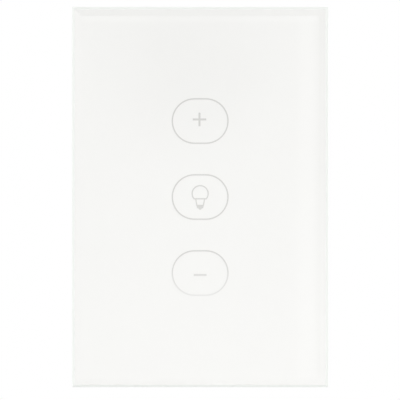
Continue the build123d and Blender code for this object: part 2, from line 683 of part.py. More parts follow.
def base_frame():
    """Make the rim with its lip and ridges, and the pan with standoffs for the power board."""
    outline = RectangleRounded(RIM_WIDTH, RIM_HEIGHT, RIM_CORNER)
    lip_inside = Rectangle(RIM_WIDTH - 2 * LIP_WALL, RIM_HEIGHT - 2 * LIP_WALL)
    pan = cut_rectangle(PAN_WIDTH, PAN_HEIGHT, PAN_CORNER)
    hollow = cut_rectangle(PAN_WIDTH - 2 * PAN_WALL, PAN_HEIGHT - 2 * PAN_WALL, PAN_CORNER)
    frame = slab(outline, LIP_FRONT, YOKE_FRONT) - slab(lip_inside, LIP_FRONT - CUT, RIM_FRONT)
    frame += slab(pan, RIM_FRONT, PAN_BACK)
    frame -= slab(hollow, LIP_FRONT, PAN_FRONT)
    standoff = Rectangle(STANDOFF_SIDE, STANDOFF_SIDE)
    for place in corners(CASE_SCREW_X, CASE_SCREW_Z):
        frame += slab(at(place, standoff), PAN_FRONT - BOSS_RISE, POWER_FRONT)
    for place in corners(CASE_SCREW_X, CASE_SCREW_Z):
        pilot = Circle(CASE_SCREW_RADIUS + SCREW_FIT)
        pilot_end = POST_SEAT - CASE_SCREW_LENGTH - PIN_END_GAP
        frame -= slab(at(place, pilot), pilot_end, POWER_FRONT + CUT)
    for end in (-1, 1):
        well = at((0, end * BOX_SCREW_SPACING / 2), Rectangle(SCREW_WELL_WIDTH, SCREW_WELL_LENGTH))
        frame -= slab(well, LIP_FRONT - CUT, YOKE_FRONT + CUT)
        ridge = snap_ridge(end * HOOK_SPACING / 2)
        frame += ridge
        frame += mirror(ridge, about=Plane.YZ)
    for place in corners(STAKE_SPACING / 2, STAKE_Z):
        frame += slab(at(place, Circle(STAKE_RADIUS)), RIM_FRONT, -STAKE_RECESS)
    opening = Rectangle(HEADER_LENGTH + 2 * HEADER_CLEARANCE, SOCKET_WIDTH + 2 * HEADER_CLEARANCE)
    return frame - slab(at((0, HEADER_Z), opening), PAN_FRONT - CUT, PAN_BACK + CUT)


def insulating_sheet():
    """Make the sheet on the pan's back, notched at the standoffs and open at the header."""
    notch = STANDOFF_SIDE / 2 + SHEET_GAP
    sheet = Rectangle(2 * (CASE_SCREW_X - notch), PAN_HEIGHT - 2 * SHEET_BORDER)
    sheet += Rectangle(PAN_WIDTH - 2 * SHEET_BORDER, 2 * (CASE_SCREW_Z - notch))
    opening = Rectangle(HEADER_LENGTH + 2 * HEADER_CLEARANCE, SOCKET_WIDTH + 2 * HEADER_CLEARANCE)
    return slab(sheet - at((0, HEADER_Z), opening), PAN_BACK, PAN_BACK + SHEET_THICKNESS)


def bar_section(x, gap):
    """Draw the upright leg of a contact bar, seen from the room, with a gap round it."""
    centre = (x, (BAR_LEG_BOTTOM + BAR_LEG_TOP) / 2)
    return at(centre, Rectangle(BAR_WIDTH + 2 * gap, BAR_THICKNESS + 2 * gap))


def power_board():
    """Make the mains board, with its screw holes and the slots for the contact bars."""
    outline = cut_rectangle(POWER_BOARD_WIDTH, POWER_BOARD_HEIGHT, PAN_CORNER)
    for place in corners(CASE_SCREW_X, CASE_SCREW_Z):
        outline -= at(place, Circle(CASE_SCREW_RADIUS + CASE_SCREW_CLEARANCE))
    for _, x in TERMINALS:
        outline -= bar_section(x, BAR_FIT)
    return slab(outline, POWER_FRONT, POWER_BACK)


def contact_bar(x):
    """Make an angled contact bar: a strip through the cage and a leg into the power board."""
    strip_bottom = CAGE_Z - CAGE_LENGTH / 2
    centre = (x, (strip_bottom + BAR_LEG_TOP) / 2)
    strip = slab(at(centre, Rectangle(BAR_WIDTH, BAR_LEG_TOP - strip_bottom)), BAR_FRONT, BAR_BACK)
    return strip + slab(bar_section(x, 0), POWER_FRONT - BAR_TAIL, BAR_BACK)


def terminal_block():
    """Make the moulded block, with a cell, a bar slot, a ledge, a well and a mouth for each wire."""
    centre = (0, (BLOCK_BOTTOM + BLOCK_TOP) / 2)
    outline = at(centre, Rectangle(BLOCK_WIDTH, BLOCK_TOP - BLOCK_BOTTOM))
    block = slab(outline, POWER_BACK, BLOCK_BACK)
    block = chamfer(block.faces().sort_by(Axis.Y)[-1].edges(), BLOCK_EDGE)
    neck = Circle(SCREW_RADIUS + NECK_FIT)
    head_well = Circle(SCREW_HEAD_RADIUS + HEAD_WELL_FIT)
    mouth_z = BLOCK_BOTTOM - CUT
    for _, x in TERMINALS:
        cell = at((x, CAGE_Z), Rectangle(CELL_WIDTH, CELL_TOP - CELL_BOTTOM))
        block -= slab(cell, POWER_BACK - CUT, CELL_BACK)
        slot_centre = (x, (CELL_BOTTOM + BAR_LEG_TOP + BAR_FIT) / 2)
        slot = Rectangle(BAR_WIDTH + 2 * BAR_FIT, BAR_LEG_TOP + BAR_FIT - CELL_BOTTOM)
        block -= slab(at(slot_centre, slot), POWER_BACK - CUT, BAR_BACK + BAR_FIT)
        block -= slab(at((x, CAGE_Z), neck), CELL_BACK - CUT, LEDGE_BACK + CUT)
        block -= slab(at((x, CAGE_Z), head_well), LEDGE_BACK, BLOCK_BACK + CUT)
        mouth_centre = (x, (mouth_z + CELL_BOTTOM + CUT) / 2)
        mouth = Rectangle(ENTRY_WIDTH, CELL_BOTTOM + CUT - mouth_z)
        block -= slab(at(mouth_centre, mouth), WIRE_FRONT, BAR_FRONT)
        flare = Plane.XY.offset(BLOCK_BOTTOM) * Pos(x, (WIRE_FRONT + BAR_FRONT) / 2)
        wide = flare * Rectangle(ENTRY_WIDTH + 2 * ENTRY_FLARE, WIRE_SPACE + 2 * ENTRY_FLARE)
        narrow = Pos(0, 0, ENTRY_FLARE) * flare * Rectangle(ENTRY_WIDTH, WIRE_SPACE)
        block -= loft([wide, narrow])
    return block


def clamp_cage(x):
    """Make a clamp cage: a bent strip round the wire space, with a threaded nut plate."""
    outer = Pos(x, (CAGE_FRONT + CAGE_BACK) / 2) * Rectangle(CAGE_WIDTH, CAGE_BACK - CAGE_FRONT)
    cage = extrude(Plane.XY.offset(CAGE_Z - CAGE_LENGTH / 2) * outer, amount=CAGE_LENGTH)
    cage = chamfer(cage.edges().filter_by(Axis.Z), CAGE_BEND)
    space = Rectangle(CAGE_WIDTH - 2 * CAGE_SIDE, CAGE_LENGTH + CUT)
    cage -= slab(at((x, CAGE_Z), space), WIRE_FRONT, NUT_FRONT)
    thread = at((x, CAGE_Z), Circle(SCREW_RADIUS + THREAD_FIT))
    return cage - slab(thread, NUT_FRONT - CUT, CAGE_BACK + CUT)


def terminal_screw(x):
    """Make a clamp screw: its tip bears on the contact bar and its head sits over the ledge."""
    length = HEAD_FRONT - BAR_BACK - SCREW_TIP_GAP
    return Pos(x, HEAD_FRONT, CAGE_Z) * screw(SCREW_RADIUS, length, SCREW_HEAD_RADIUS, SCREW_HEAD)


def housing_block(outline, depth):
    """Make a tapered block from the rim into the wall box."""
    start = INTO_WALL.offset(YOKE_FRONT)
    return extrude(start * outline, amount=depth - YOKE_FRONT, taper=HOUSING_DRAFT)


def rear_housing():
    """Make the housing: drafted shell, screw posts, vents and the bay for the terminal block."""
    outside = RectangleRounded(HOUSING_WIDTH, HOUSING_HEIGHT, HOUSING_CORNER)
    outer = housing_block(outside, HOUSING_DEPTH)
    outer = chamfer(outer.faces().sort_by(Axis.Y)[-1].edges(), HOUSING_EDGE)
    inside = cut_rectangle(INSIDE_WIDTH, INSIDE_HEIGHT, PAN_CORNER)
    inner = housing_block(inside, HOUSING_DEPTH - HOUSING_WALL)
    housing = outer - inner
    for place in corners(CASE_SCREW_X, CASE_SCREW_Z):
        post = slab(at(place, Rectangle(POST_SIDE, POST_SIDE)), POWER_BACK, HOUSING_DEPTH)
        housing += post & outer
    shank_hole = Circle(CASE_SCREW_RADIUS + CASE_SCREW_CLEARANCE)
    head_hole = Circle(CASE_SCREW_HEAD_RADIUS + SCREW_WELL_GAP)
    for place in corners(CASE_SCREW_X, CASE_SCREW_Z):
        housing -= slab(at(place, shank_hole), POWER_FRONT, POST_SEAT + CUT)
        housing -= slab(at(place, head_hole), POST_SEAT, HOUSING_DEPTH + CUT)
    for vent in range(VENT_COUNT):
        x = (vent - (VENT_COUNT - 1) / 2) * VENT_PITCH
        opening = at((x, VENT_RISE), Rectangle(VENT_WIDTH, VENT_LENGTH))
        housing -= slab(opening, HOUSING_DEPTH - HOUSING_WALL - CUT, HOUSING_DEPTH + CUT)
    for vent in range(SIDE_VENT_COUNT):
        z = VENT_RISE + (vent - (SIDE_VENT_COUNT - 1) / 2) * VENT_PITCH
        opening = Pos(SIDE_VENT_DEPTH, z) * Rectangle(SIDE_VENT_LENGTH, VENT_WIDTH)
        side = Plane.YZ.offset(-HOUSING_WIDTH / 2 - CUT)
        housing -= extrude(side * opening, amount=HOUSING_WIDTH + 2 * CUT)
    bay_bottom = -HOUSING_HEIGHT / 2 - CUT
    bay_top = BLOCK_TOP + BLOCK_FIT
    bay = Rectangle(BLOCK_WIDTH + 2 * BLOCK_FIT, bay_top - bay_bottom)
    return housing - slab(at((0, (bay_bottom + bay_top) / 2), bay), POWER_BACK, HOUSING_DEPTH + CUT)


def case_screws():
    """Make the four long-well screws that pull the housing onto the base frame."""
    one = screw(CASE_SCREW_RADIUS, CASE_SCREW_LENGTH, CASE_SCREW_HEAD_RADIUS, CASE_SCREW_HEAD)
    return Part() + [Pos(x, POST_SEAT, z) * one for x, z in corners(CASE_SCREW_X, CASE_SCREW_Z)]


def sink_face():
    """Give the X of the heat sink's mounting face."""
    return -POWER_BOARD_WIDTH / 2 + SINK_WALL_GAP + SINK_THICKNESS


def heat_sink():
    """Make the angled aluminium heat sink on the left."""
    plate_x = sink_face() - SINK_THICKNESS / 2
    top = POWER_BACK + SINK_HEIGHT
    plate = at((plate_x, SINK_Z), Rectangle(SINK_THICKNESS, SINK_LENGTH))
    lip_x = sink_face() + SINK_FOOT / 2 - SINK_THICKNESS
    lip = at((lip_x, SINK_Z), Rectangle(SINK_FOOT, SINK_LENGTH))
    return slab(plate, POWER_BACK, top) + slab(lip, top - SINK_THICKNESS, top)


def power_transistors():
    """Make the two transistors that stand against the heat sink."""
    body_front = POWER_BACK + TRANSISTOR_STANDOFF
    body_back = body_front + TRANSISTOR_BODY
    body_x = sink_face() + TRANSISTOR_THICKNESS / 2
    pieces = []
    for end in (-1, 1):
        z = SINK_Z + end * TRANSISTOR_SPACING / 2
        case = at((body_x, z), Rectangle(TRANSISTOR_THICKNESS, TRANSISTOR_WIDTH))
        tab_x = sink_face() + TRANSISTOR_TAB / 2
        tab_end = body_back + TRANSISTOR_TAB_HEIGHT - SINK_THICKNESS
        tab = at((tab_x, z), Rectangle(TRANSISTOR_TAB, TRANSISTOR_WIDTH))
        body = slab(case, body_front, body_back) + slab(tab, body_back, tab_end)
        for lead in (-1, 0, 1):
            foot = at((body_x, z + lead * LEAD_PITCH), Rectangle(LEAD_SIDE, LEAD_SIDE))
            body += slab(foot, POWER_BACK, body_front)
        pieces.append(body)
    return Part() + pieces


def transformer_core():
    """Make the ferrite core: two limbs and two yokes round the bobbin."""
    x, z = TRANSFORMER_AT
    core = slab(at((x, z), Rectangle(CORE_WIDTH, CORE_DEPTH)), POWER_BACK, POWER_BACK + CORE_HEIGHT)
    window = Rectangle(CORE_WIDTH - 2 * CORE_LIMB, CORE_DEPTH + CUT)
    return core - slab(at((x, z), window), POWER_BACK + CORE_LIMB, POWER_BACK + CORE_HEIGHT - CORE_LIMB)


def transformer_bobbin():
    """Make the wound and taped bobbin inside the core."""
    x, z = TRANSFORMER_AT
    width = CORE_WIDTH - 2 * CORE_LIMB - 2 * BOBBIN_GAP
    length = CORE_DEPTH + 2 * BOBBIN_OVERHANG
    front = POWER_BACK + CORE_LIMB + BOBBIN_GAP
    back = POWER_BACK + CORE_HEIGHT - CORE_LIMB - BOBBIN_GAP
    bobbin = slab(at((x, z), cut_rectangle(width, length, BOBBIN_CORNER)), front, back)
    for end in (-1, 1):
        foot_z = z + end * (CORE_DEPTH + BOBBIN_OVERHANG) / 2
        bobbin += slab(at((x, foot_z), Rectangle(width, BOBBIN_OVERHANG / 2)), POWER_BACK, front)
    return bobbin


def choke_core():
    """Make the ring core of the filter choke, lying flat."""
    ring = Circle(CHOKE_RADIUS) - Circle(CHOKE_BORE)
    front = POWER_BACK + WINDING_THICKNESS
    return slab(at(CHOKE_AT, ring), front, front + CHOKE_HEIGHT)


def choke_winding():
    """Make the winding round the ring core, open where its ends meet."""
    front = POWER_BACK + WINDING_THICKNESS - WINDING_GAP
    back = POWER_BACK + WINDING_THICKNESS + CHOKE_HEIGHT + WINDING_GAP
    outside = Circle(CHOKE_RADIUS + WINDING_THICKNESS) - Circle(CHOKE_BORE - WINDING_THICKNESS)
    inside = Circle(CHOKE_RADIUS + WINDING_GAP) - Circle(CHOKE_BORE - WINDING_GAP)
    winding = slab(at(CHOKE_AT, outside), POWER_BACK, back + WINDING_THICKNESS)
    winding -= slab(at(CHOKE_AT, inside), front, back)
    gap_place = (CHOKE_AT[0], CHOKE_AT[1] + CHOKE_RADIUS)
    gap = at(gap_place, Rectangle(WINDING_OPENING, 2 * CHOKE_RADIUS))
    return winding - slab(gap, POWER_BACK - CUT, back + WINDING_THICKNESS + CUT)


def bulk_capacitor():
    """Make the round electrolytic capacitor."""
    can = slab(at(BULK_AT, Circle(BULK_RADIUS)), POWER_BACK, POWER_BACK + BULK_HEIGHT)
    return chamfer(can.faces().sort_by(Axis.Y)[-1].edges(), COMPONENT_EDGE)


def board_block(place, width, length, height):
    """Make a plain moulded component on the power board, with broken edges on its back."""
    block = slab(at(place, Rectangle(width, length)), POWER_BACK, POWER_BACK + height)
    return chamfer(block.faces().sort_by(Axis.Y)[-1].edges(), COMPONENT_EDGE)


def suppression_capacitor():
    """Make the boxed film capacitor across the mains."""
    return board_block(SUPPRESSOR_AT, SUPPRESSOR_WIDTH, SUPPRESSOR_LENGTH, SUPPRESSOR_HEIGHT)


def bridge_rectifier():
    """Make the low rectifier block."""
    return board_block(RECTIFIER_AT, RECTIFIER_WIDTH, RECTIFIER_LENGTH, RECTIFIER_HEIGHT)


def fuse():
    """Make the round radial fuse."""
    body = slab(at(FUSE_AT, Circle(FUSE_RADIUS)), POWER_BACK, POWER_BACK + FUSE_HEIGHT)
    return chamfer(body.faces().sort_by(Axis.Y)[-1].edges(), COMPONENT_EDGE)


def varistor():
    """Make the coated disc that stands on two leads."""
    x, z = VARISTOR_AT
    radius = VARISTOR_WIDTH / 2
    centre = POWER_BACK + VARISTOR_LEAD + radius
    face = Plane.XY.offset(z - VARISTOR_THICKNESS / 2) * Pos(x, centre) * Circle(radius)
    disc = extrude(face, amount=VARISTOR_THICKNESS)
    disc = chamfer(disc.edges(), VARISTOR_EDGE)
    for side in (-1, 1):
        lead = at((x + side * radius / 2, z), Rectangle(LEAD_SIDE, LEAD_SIDE))
        disc += slab(lead, POWER_BACK, centre - radius / 2)
    return disc


def all_nodes():
    """Build every piece and give it the name of its file."""
    nodes = {
        "glass_panel": glass_panel(),
        "back_print": back_print(),
        "legend_print": legend_print(),
        "bonding_tape": bonding_tape(),
        "front_frame": front_frame(),
        "touch_board": touch_board(),
        "key_leds": key_leds(),
        "touch_controller": touch_controller(),
        "radio_module": radio_module(),
        "shield_can": shield_can(),
        "chip_parts": chip_parts(),
        "header_socket": header_socket(),
        "board_screws": board_screws(),
        "mounting_yoke": mounting_yoke(),
        "base_frame": base_frame(),
        "insulating_sheet": insulating_sheet(),
        "power_board": power_board(),
        "header_body": header_body(),
        "header_pins": header_pins(),
        "terminal_block": terminal_block(),
        "heat_sink": heat_sink(),
        "power_transistors": power_transistors(),
        "transformer_core": transformer_core(),
        "transformer_bobbin": transformer_bobbin(),
        "choke_core": choke_core(),
        "choke_winding": choke_winding(),
        "bulk_capacitor": bulk_capacitor(),
        "suppression_capacitor": suppression_capacitor(),
        "bridge_rectifier": bridge_rectifier(),
        "fuse": fuse(),
        "varistor": varistor(),
        "rear_housing": rear_housing(),
        "case_screws": case_screws(),
    }
    for name, height in zip(KEY_NAMES, KEY_HEIGHTS):
        nodes[f"light_guide_{name}"] = light_guide(height)
        nodes[f"touch_spring_{name}"] = touch_spring(height)
    for name, x in TERMINALS:
        nodes[f"contact_bar_{name}"] = contact_bar(x)
        nodes[f"clamp_cage_{name}"] = clamp_cage(x)
        nodes[f"terminal_screw_{name}"] = terminal_screw(x)
    return nodes


os.makedirs("parts", exist_ok=True)
for node, shape in all_nodes().items():
    export_step(shape, f"parts/{node}.step")
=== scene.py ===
import logging
import math
from dataclasses import dataclass, field
from enum import Enum
from typing import Iterable, Mapping, Sequence

import bmesh
import bpy
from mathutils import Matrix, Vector


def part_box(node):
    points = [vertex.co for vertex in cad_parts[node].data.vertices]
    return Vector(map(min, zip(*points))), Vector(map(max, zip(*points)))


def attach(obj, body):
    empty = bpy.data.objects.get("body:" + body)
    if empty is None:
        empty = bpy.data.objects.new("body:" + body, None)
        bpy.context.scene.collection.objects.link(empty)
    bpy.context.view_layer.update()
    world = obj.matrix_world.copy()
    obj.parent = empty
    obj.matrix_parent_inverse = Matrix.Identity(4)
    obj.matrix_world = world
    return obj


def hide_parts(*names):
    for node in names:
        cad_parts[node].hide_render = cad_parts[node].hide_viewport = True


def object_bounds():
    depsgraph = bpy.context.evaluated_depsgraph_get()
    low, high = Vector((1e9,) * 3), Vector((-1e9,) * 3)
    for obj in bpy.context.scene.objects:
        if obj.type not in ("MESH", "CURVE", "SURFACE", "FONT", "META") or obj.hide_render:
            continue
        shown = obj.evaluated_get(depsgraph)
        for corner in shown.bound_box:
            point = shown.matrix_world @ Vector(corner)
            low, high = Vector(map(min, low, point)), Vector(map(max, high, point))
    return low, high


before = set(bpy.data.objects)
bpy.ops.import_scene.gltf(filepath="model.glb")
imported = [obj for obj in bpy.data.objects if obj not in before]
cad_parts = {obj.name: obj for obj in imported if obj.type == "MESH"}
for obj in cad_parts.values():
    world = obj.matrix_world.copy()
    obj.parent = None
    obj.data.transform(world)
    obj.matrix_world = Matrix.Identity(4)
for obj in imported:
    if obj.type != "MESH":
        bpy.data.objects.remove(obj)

LOG = logging.getLogger("touch_dimmer")
MM = 0.001
CAD_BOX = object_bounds()
# Where a Mix node keeps its colour sockets. Its other kinds of socket have the same names.
MIX_FIRST, MIX_SECOND, MIX_RESULT = 6, 7, 2

Colour = tuple[float, float, float, float]
Place = tuple[float, float]
Point = tuple[float, float, float]
Mesh = bmesh.types.BMesh
Ring = list[bmesh.types.BMVert]
Material = bpy.types.Material
Node = bpy.types.Node
Socket = bpy.types.NodeSocket
Tree = bpy.types.NodeTree
Surface = tuple[Socket, Socket | float, Socket]


class Texture(Enum):
    """How the grain of a surface runs, as stretches of its noise along X, Y and Z."""

    EVEN = (1.0, 1.0, 1.0)
    DRAWN_ACROSS = (0.04, 1.0, 1.0)
    DRAWN_UP = (1.0, 1.0, 0.04)
    DRAWN_DEEP = (1.0, 0.04, 1.0)


class Ray(Enum):
    """Outputs of the Light Path node that the studio and the glass tell apart."""

    CAMERA = "Is Camera Ray"
    GLOSSY = "Is Glossy Ray"
    TRANSMISSION = "Is Transmission Ray"
    SHADOW = "Is Shadow Ray"
    DIFFUSE = "Is Diffuse Ray"


def srgb(red: float, green: float, blue: float) -> Colour:
    """Turn a colour written as 0-255 screen values into the linear colour of a socket.

    Args:
        red: screen value of red.
        green: screen value of green.
        blue: screen value of blue.

    Returns:
        Linear red, green and blue, and an alpha of 1.
    """
    linear = []
    for value in (red, green, blue):
        share = value / 255
        linear.append(share / 12.92 if share <= 0.04045 else ((share + 0.055) / 1.055) ** 2.4)
    return (linear[0], linear[1], linear[2], 1.0)


# ---- shared effects ------------------------------------------------------------------------


class Wiring:
    """Adds nodes to a node tree and joins them."""

    def __init__(self, tree: Tree) -> None:
        """Take the tree to work on."""
        self.tree = tree

    def fill(self, node: Node, inputs: Mapping[str | int, object]) -> None:
        """Link a socket to each named input, or write a plain value into it.

        Args:
            node: the node whose inputs are filled.
            inputs: a socket or a value for each of them, by name or number.
        """
        for name, value in inputs.items():
            if isinstance(value, Socket):
                self.tree.links.new(value, node.inputs[name])
            else:
                node.inputs[name].default_value = value

    def node(self, kind: str, inputs: Mapping[str | int, object] | None = None,
             **settings: object) -> Node:
        """Add a node, set its properties and fill its inputs.

        Args:
            kind: the node's type.
            inputs: a socket or a value for some of its inputs, by name or number.
            settings: its properties by name.

        Returns:
            The new node.
        """
        made = self.tree.nodes.new(kind)
        for name, value in settings.items():
            setattr(made, name, value)
        self.fill(made, inputs or {})
        return made

    def where(self) -> Socket:
        """Give the object's own coordinates."""
        return self.node("ShaderNodeTexCoord").outputs["Object"]

    def maths(self, operation: str, *values: object) -> Socket:
        """Add a Math node that takes sockets or numbers, and give its output."""
        return self.node("ShaderNodeMath", dict(enumerate(values)), operation=operation).outputs[0]

    def ramp(self, value: Socket, start: float, end: float, first: object = 0.0,
             last: object = 1.0) -> Socket:
        """Run smoothly from first, where the value is start, to last, where it is end."""
        inputs = {"Value": value, "From Min": start, "From Max": end, "To Min": first, "To Max": last}
        return self.node("ShaderNodeMapRange", inputs, interpolation_type="SMOOTHSTEP").outputs[0]

    def blend(self, share: Socket, first: object, second: object) -> Socket:
        """Mix two colours: the first where the share is 0, the second where it is 1."""
        inputs = {"Factor": share, MIX_FIRST: first, MIX_SECOND: second}
        return self.node("ShaderNodeMix", inputs, data_type="RGBA").outputs[MIX_RESULT]

    def mix_shaders(self, share: Socket, first: Node, second: Node) -> None:
        """Show a mix of two shaders as the surface: the first at 0, the second at 1."""
        mixed = self.node("ShaderNodeMixShader", {0: share, 1: first.outputs[0], 2: second.outputs[0]})
        self.fill(self.tree.nodes["Material Output"], {"Surface": mixed.outputs[0]})

    def bump(self, shader: Node, height: Socket, strength: float, depth: float) -> None:
        """Feed a height of this strength and depth into a shader's normal."""
        made = self.node("ShaderNodeBump", {"Strength": strength, "Distance": depth, "Height": height})
        self.fill(shader, {"Normal": made.outputs["Normal"]})


class EffectGroup(Wiring):
    """A shader node group that is built once and placed in many materials."""

    def __init__(self, name: str, **inputs: tuple[str, object]) -> None:
        """Start a group.

        Args:
            name: the group's name.
            inputs: kind and default value of each input, by name with _ for a space.
        """
        super().__init__(bpy.data.node_groups.new(name, "ShaderNodeTree"))
        for label, (kind, value) in inputs.items():
            socket = self.tree.interface.new_socket(name=label.replace("_", " "), in_out="INPUT",
                                                    socket_type="NodeSocket" + kind)
            socket.default_value = value
        self.given = self.tree.nodes.new("NodeGroupInput").outputs
        self.exit = self.tree.nodes.new("NodeGroupOutput")

    def gives(self, name: str, kind: str, source: Socket) -> None:
        """Add a named output of a kind, such as Float or Color, and feed it."""
        self.tree.interface.new_socket(name=name, in_out="OUTPUT", socket_type="NodeSocket" + kind)
        self.fill(self.exit, {name: source})


def grain_group() -> Tree:
    """Build the grain that every moulded, rolled or printed surface shares.

    Returns:
        A group with Colour, Roughness and Height outputs.
    """
    group = EffectGroup("surface grain", Colour=("Color", (0.8, 0.8, 0.8, 1.0)),
                        Second_colour=("Color", (0.7, 0.7, 0.7, 1.0)), Roughness=("Float", 0.5),
                        Roughness_spread=("Float", 0.1), Grain_per_metre=("Float", 2000.0),
                        Cloud_per_metre=("Float", 60.0), Stretch=("Vector", (1.0, 1.0, 1.0)))
    given, where = group.given, group.where()
    stretched = group.node("ShaderNodeVectorMath", {0: where, 1: given["Stretch"]}, operation="MULTIPLY")
    fine = group.node("ShaderNodeTexNoise", {"Detail": 3.0, "Vector": stretched.outputs[0],
                                             "Scale": given["Grain per metre"]}).outputs["Fac"]
    cloud = group.node("ShaderNodeTexNoise", {"Detail": 2.0, "Vector": where,
                                              "Scale": given["Cloud per metre"]}).outputs["Fac"]
    both = group.maths("MULTIPLY", group.maths("ADD", fine, cloud), 0.5)
    group.gives("Colour", "Color", group.blend(both, given["Colour"], given["Second colour"]))
    swing = group.maths("MULTIPLY", group.maths("SUBTRACT", both, 0.5), given["Roughness spread"])
    group.gives("Roughness", "Float", group.maths("ADD", given["Roughness"], swing))
    group.gives("Height", "Float", fine)
    return group.tree


def spangle_group() -> Tree:
    """Build the crystal pattern of zinc on steel.

    Returns:
        A group with Colour and Roughness outputs.
    """
    smoothest, spread = 0.3, 0.16
    group = EffectGroup("zinc spangle", Light_colour=("Color", (0.7, 0.7, 0.72, 1.0)),
                        Dark_colour=("Color", (0.5, 0.5, 0.52, 1.0)), Cells_per_metre=("Float", 300.0))
    given = group.given
    cells = group.node("ShaderNodeTexVoronoi", {"Vector": group.where(), "Scale": given["Cells per metre"]},
                       feature="F1")
    tone = group.node("ShaderNodeSeparateColor", {0: cells.outputs["Color"]}).outputs
    group.gives("Colour", "Color", group.blend(tone[0], given["Light colour"], given["Dark colour"]))
    group.gives("Roughness", "Float", group.maths("MULTIPLY_ADD", tone[1], spread, smoothest))
    return group.tree


def weave_group() -> Tree:
    """Build the faint glass weave that shows through the lacquer of a circuit board.

    Returns:
        A group with Colour and Height outputs.
    """
    group = EffectGroup("board weave", Lacquer=("Color", (0.02, 0.2, 0.08, 1.0)),
                        Weave_colour=("Color", (0.03, 0.26, 0.1, 1.0)))
    where, per_metre, looseness = group.where(), 300.0, 0.4
    threads = [group.node("ShaderNodeTexWave", {"Scale": per_metre, "Distortion": looseness, "Vector": where},
                          bands_direction=direction).outputs["Fac"] for direction in ("X", "Z")]
    crossed = group.maths("MULTIPLY", *threads)
    group.gives("Colour", "Color", group.blend(crossed, group.given["Lacquer"], group.given["Weave colour"]))
    group.gives("Height", "Float", crossed)
    return group.tree


@dataclass(frozen=True)
class Effects:
    """The shared node groups."""

    grain: Tree = field(default_factory=grain_group)
    spangle: Tree = field(default_factory=spangle_group)
    weave: Tree = field(default_factory=weave_group)


# ---- finishes ------------------------------------------------------------------------------


def blank_material(name: str) -> tuple[Material, Wiring, Node]:
    """Make a material with nothing but its main shader.

    Args:
        name: the material's name.

    Returns:
        The material, its wiring and its Principled shader.
    """
    material = bpy.data.materials.new(name)
    material.use_nodes = True
    return material, Wiring(material.node_tree), material.node_tree.nodes["Principled BSDF"]


@dataclass(frozen=True)
class Finish:
    """A surface with the shared grain in its colour, roughness and bump, and the CAD nodes that wear it."""

    name: str
    colour: Colour
    second: Colour
    roughness: float
    spread: float = 0.08
    metallic: float = 0.0
    grain_per_metre: float = 3000.0
    cloud_per_metre: float = 60.0
    bump_depth: float = 0.02 * MM
    bump_strength: float = 0.3
    texture: Texture = Texture.EVEN
    coat: float = 0.0
    coat_roughness: float = 0.06
    subsurface: float = 0.0
    scatter: Point = (1.2 * MM, 1.0 * MM, 0.9 * MM)
    nodes: tuple[str, ...] = ()

    def surface(self, wiring: Wiring, groups: Effects) -> Surface:
        """Place what changes over the surface.

        Args:
            wiring: the material's wiring.
            groups: the shared effects.

        Returns:
            The surface's colour, roughness and height.
        """
        grain = wiring.node("ShaderNodeGroup", {
            "Colour": self.colour, "Second colour": self.second, "Roughness": self.roughness,
            "Roughness spread": self.spread, "Grain per metre": self.grain_per_metre,
            "Cloud per metre": self.cloud_per_metre, "Stretch": self.texture.value,
        }, node_tree=groups.grain).outputs
        return grain["Colour"], grain["Roughness"], grain["Height"]

    def build(self, groups: Effects) -> Material:
        """Build the material.

        Args:
            groups: the shared effects.

        Returns:
            The finished material.
        """
        material, wiring, shader = blank_material(self.name)
        colour, roughness, height = self.surface(wiring, groups)
        wiring.fill(shader, {"Base Color": colour, "Roughness": roughness, "Metallic": self.metallic,
                             "Coat Weight": self.coat, "Coat Roughness": self.coat_roughness})
        if self.subsurface:
            wiring.fill(shader, {"Subsurface Weight": self.subsurface, "Subsurface Scale": 1.0,
                                 "Subsurface Radius": self.scatter})
        wiring.bump(shader, height, self.bump_strength, self.bump_depth)
        return material


@dataclass(frozen=True)
class FadingPrintFinish(Finish):
    """A printed tone that grows paler down the panel."""

    pale: Colour = srgb(235.1, 234.6, 232.6)
    fade_from: float = -16.0 * MM
    fade_to: float = -34.0 * MM

    def surface(self, wiring: Wiring, groups: Effects) -> Surface:
        """Place the grain, and blend its colour to the pale one by height.

        Args:
            wiring: the material's wiring.
            groups: the shared effects.

        Returns:
            The surface's colour, roughness and height.
        """
        colour, roughness, height = super().surface(wiring, groups)
        level = wiring.node("ShaderNodeSeparateXYZ", {0: wiring.where()}).outputs["Z"]
        faded = wiring.blend(wiring.ramp(level, self.fade_from, self.fade_to), colour, self.pale)
        return faded, roughness, height


@dataclass(frozen=True)
class ZincFinish(Finish):
    """Zinc-coated steel, with crystals over the rolling marks."""

    cells_per_metre: float = 900.0

    def surface(self, wiring: Wiring, groups: Effects) -> Surface:
        """Place crystals for colour and roughness, and rolling marks for height."""
        spangle = wiring.node("ShaderNodeGroup", {
            "Light colour": self.colour, "Dark colour": self.second, "Cells per metre": self.cells_per_metre,
        }, node_tree=groups.spangle).outputs
        return spangle["Colour"], spangle["Roughness"], super().surface(wiring, groups)[2]


@dataclass(frozen=True)
class BoardFinish(Finish):
    """Lacquered circuit board over a glass weave."""

    def surface(self, wiring: Wiring, groups: Effects) -> Surface:
        """Place the weave under a lacquer of even roughness."""
        weave = wiring.node("ShaderNodeGroup", {"Lacquer": self.colour, "Weave colour": self.second},
                            node_tree=groups.weave).outputs
        return weave["Colour"], self.roughness, weave["Height"]


def pass_light(material: Material) -> Material:
    """Let lamplight and scattered light straight through, so that what lies behind glass is lit.

    Args:
        material: the glass, whose Principled shader every other ray goes on to meet.

    Returns:
        The same material.
    """
    wiring = Wiring(material.node_tree)
    path = wiring.node("ShaderNodeLightPath").outputs
    light = wiring.maths("MAXIMUM", path[Ray.SHADOW.value], path[Ray.DIFFUSE.value])
    shader = wiring.tree.nodes["Principled BSDF"]
    wiring.mix_shaders(light, shader, wiring.node("ShaderNodeBsdfTransparent"))
    return material


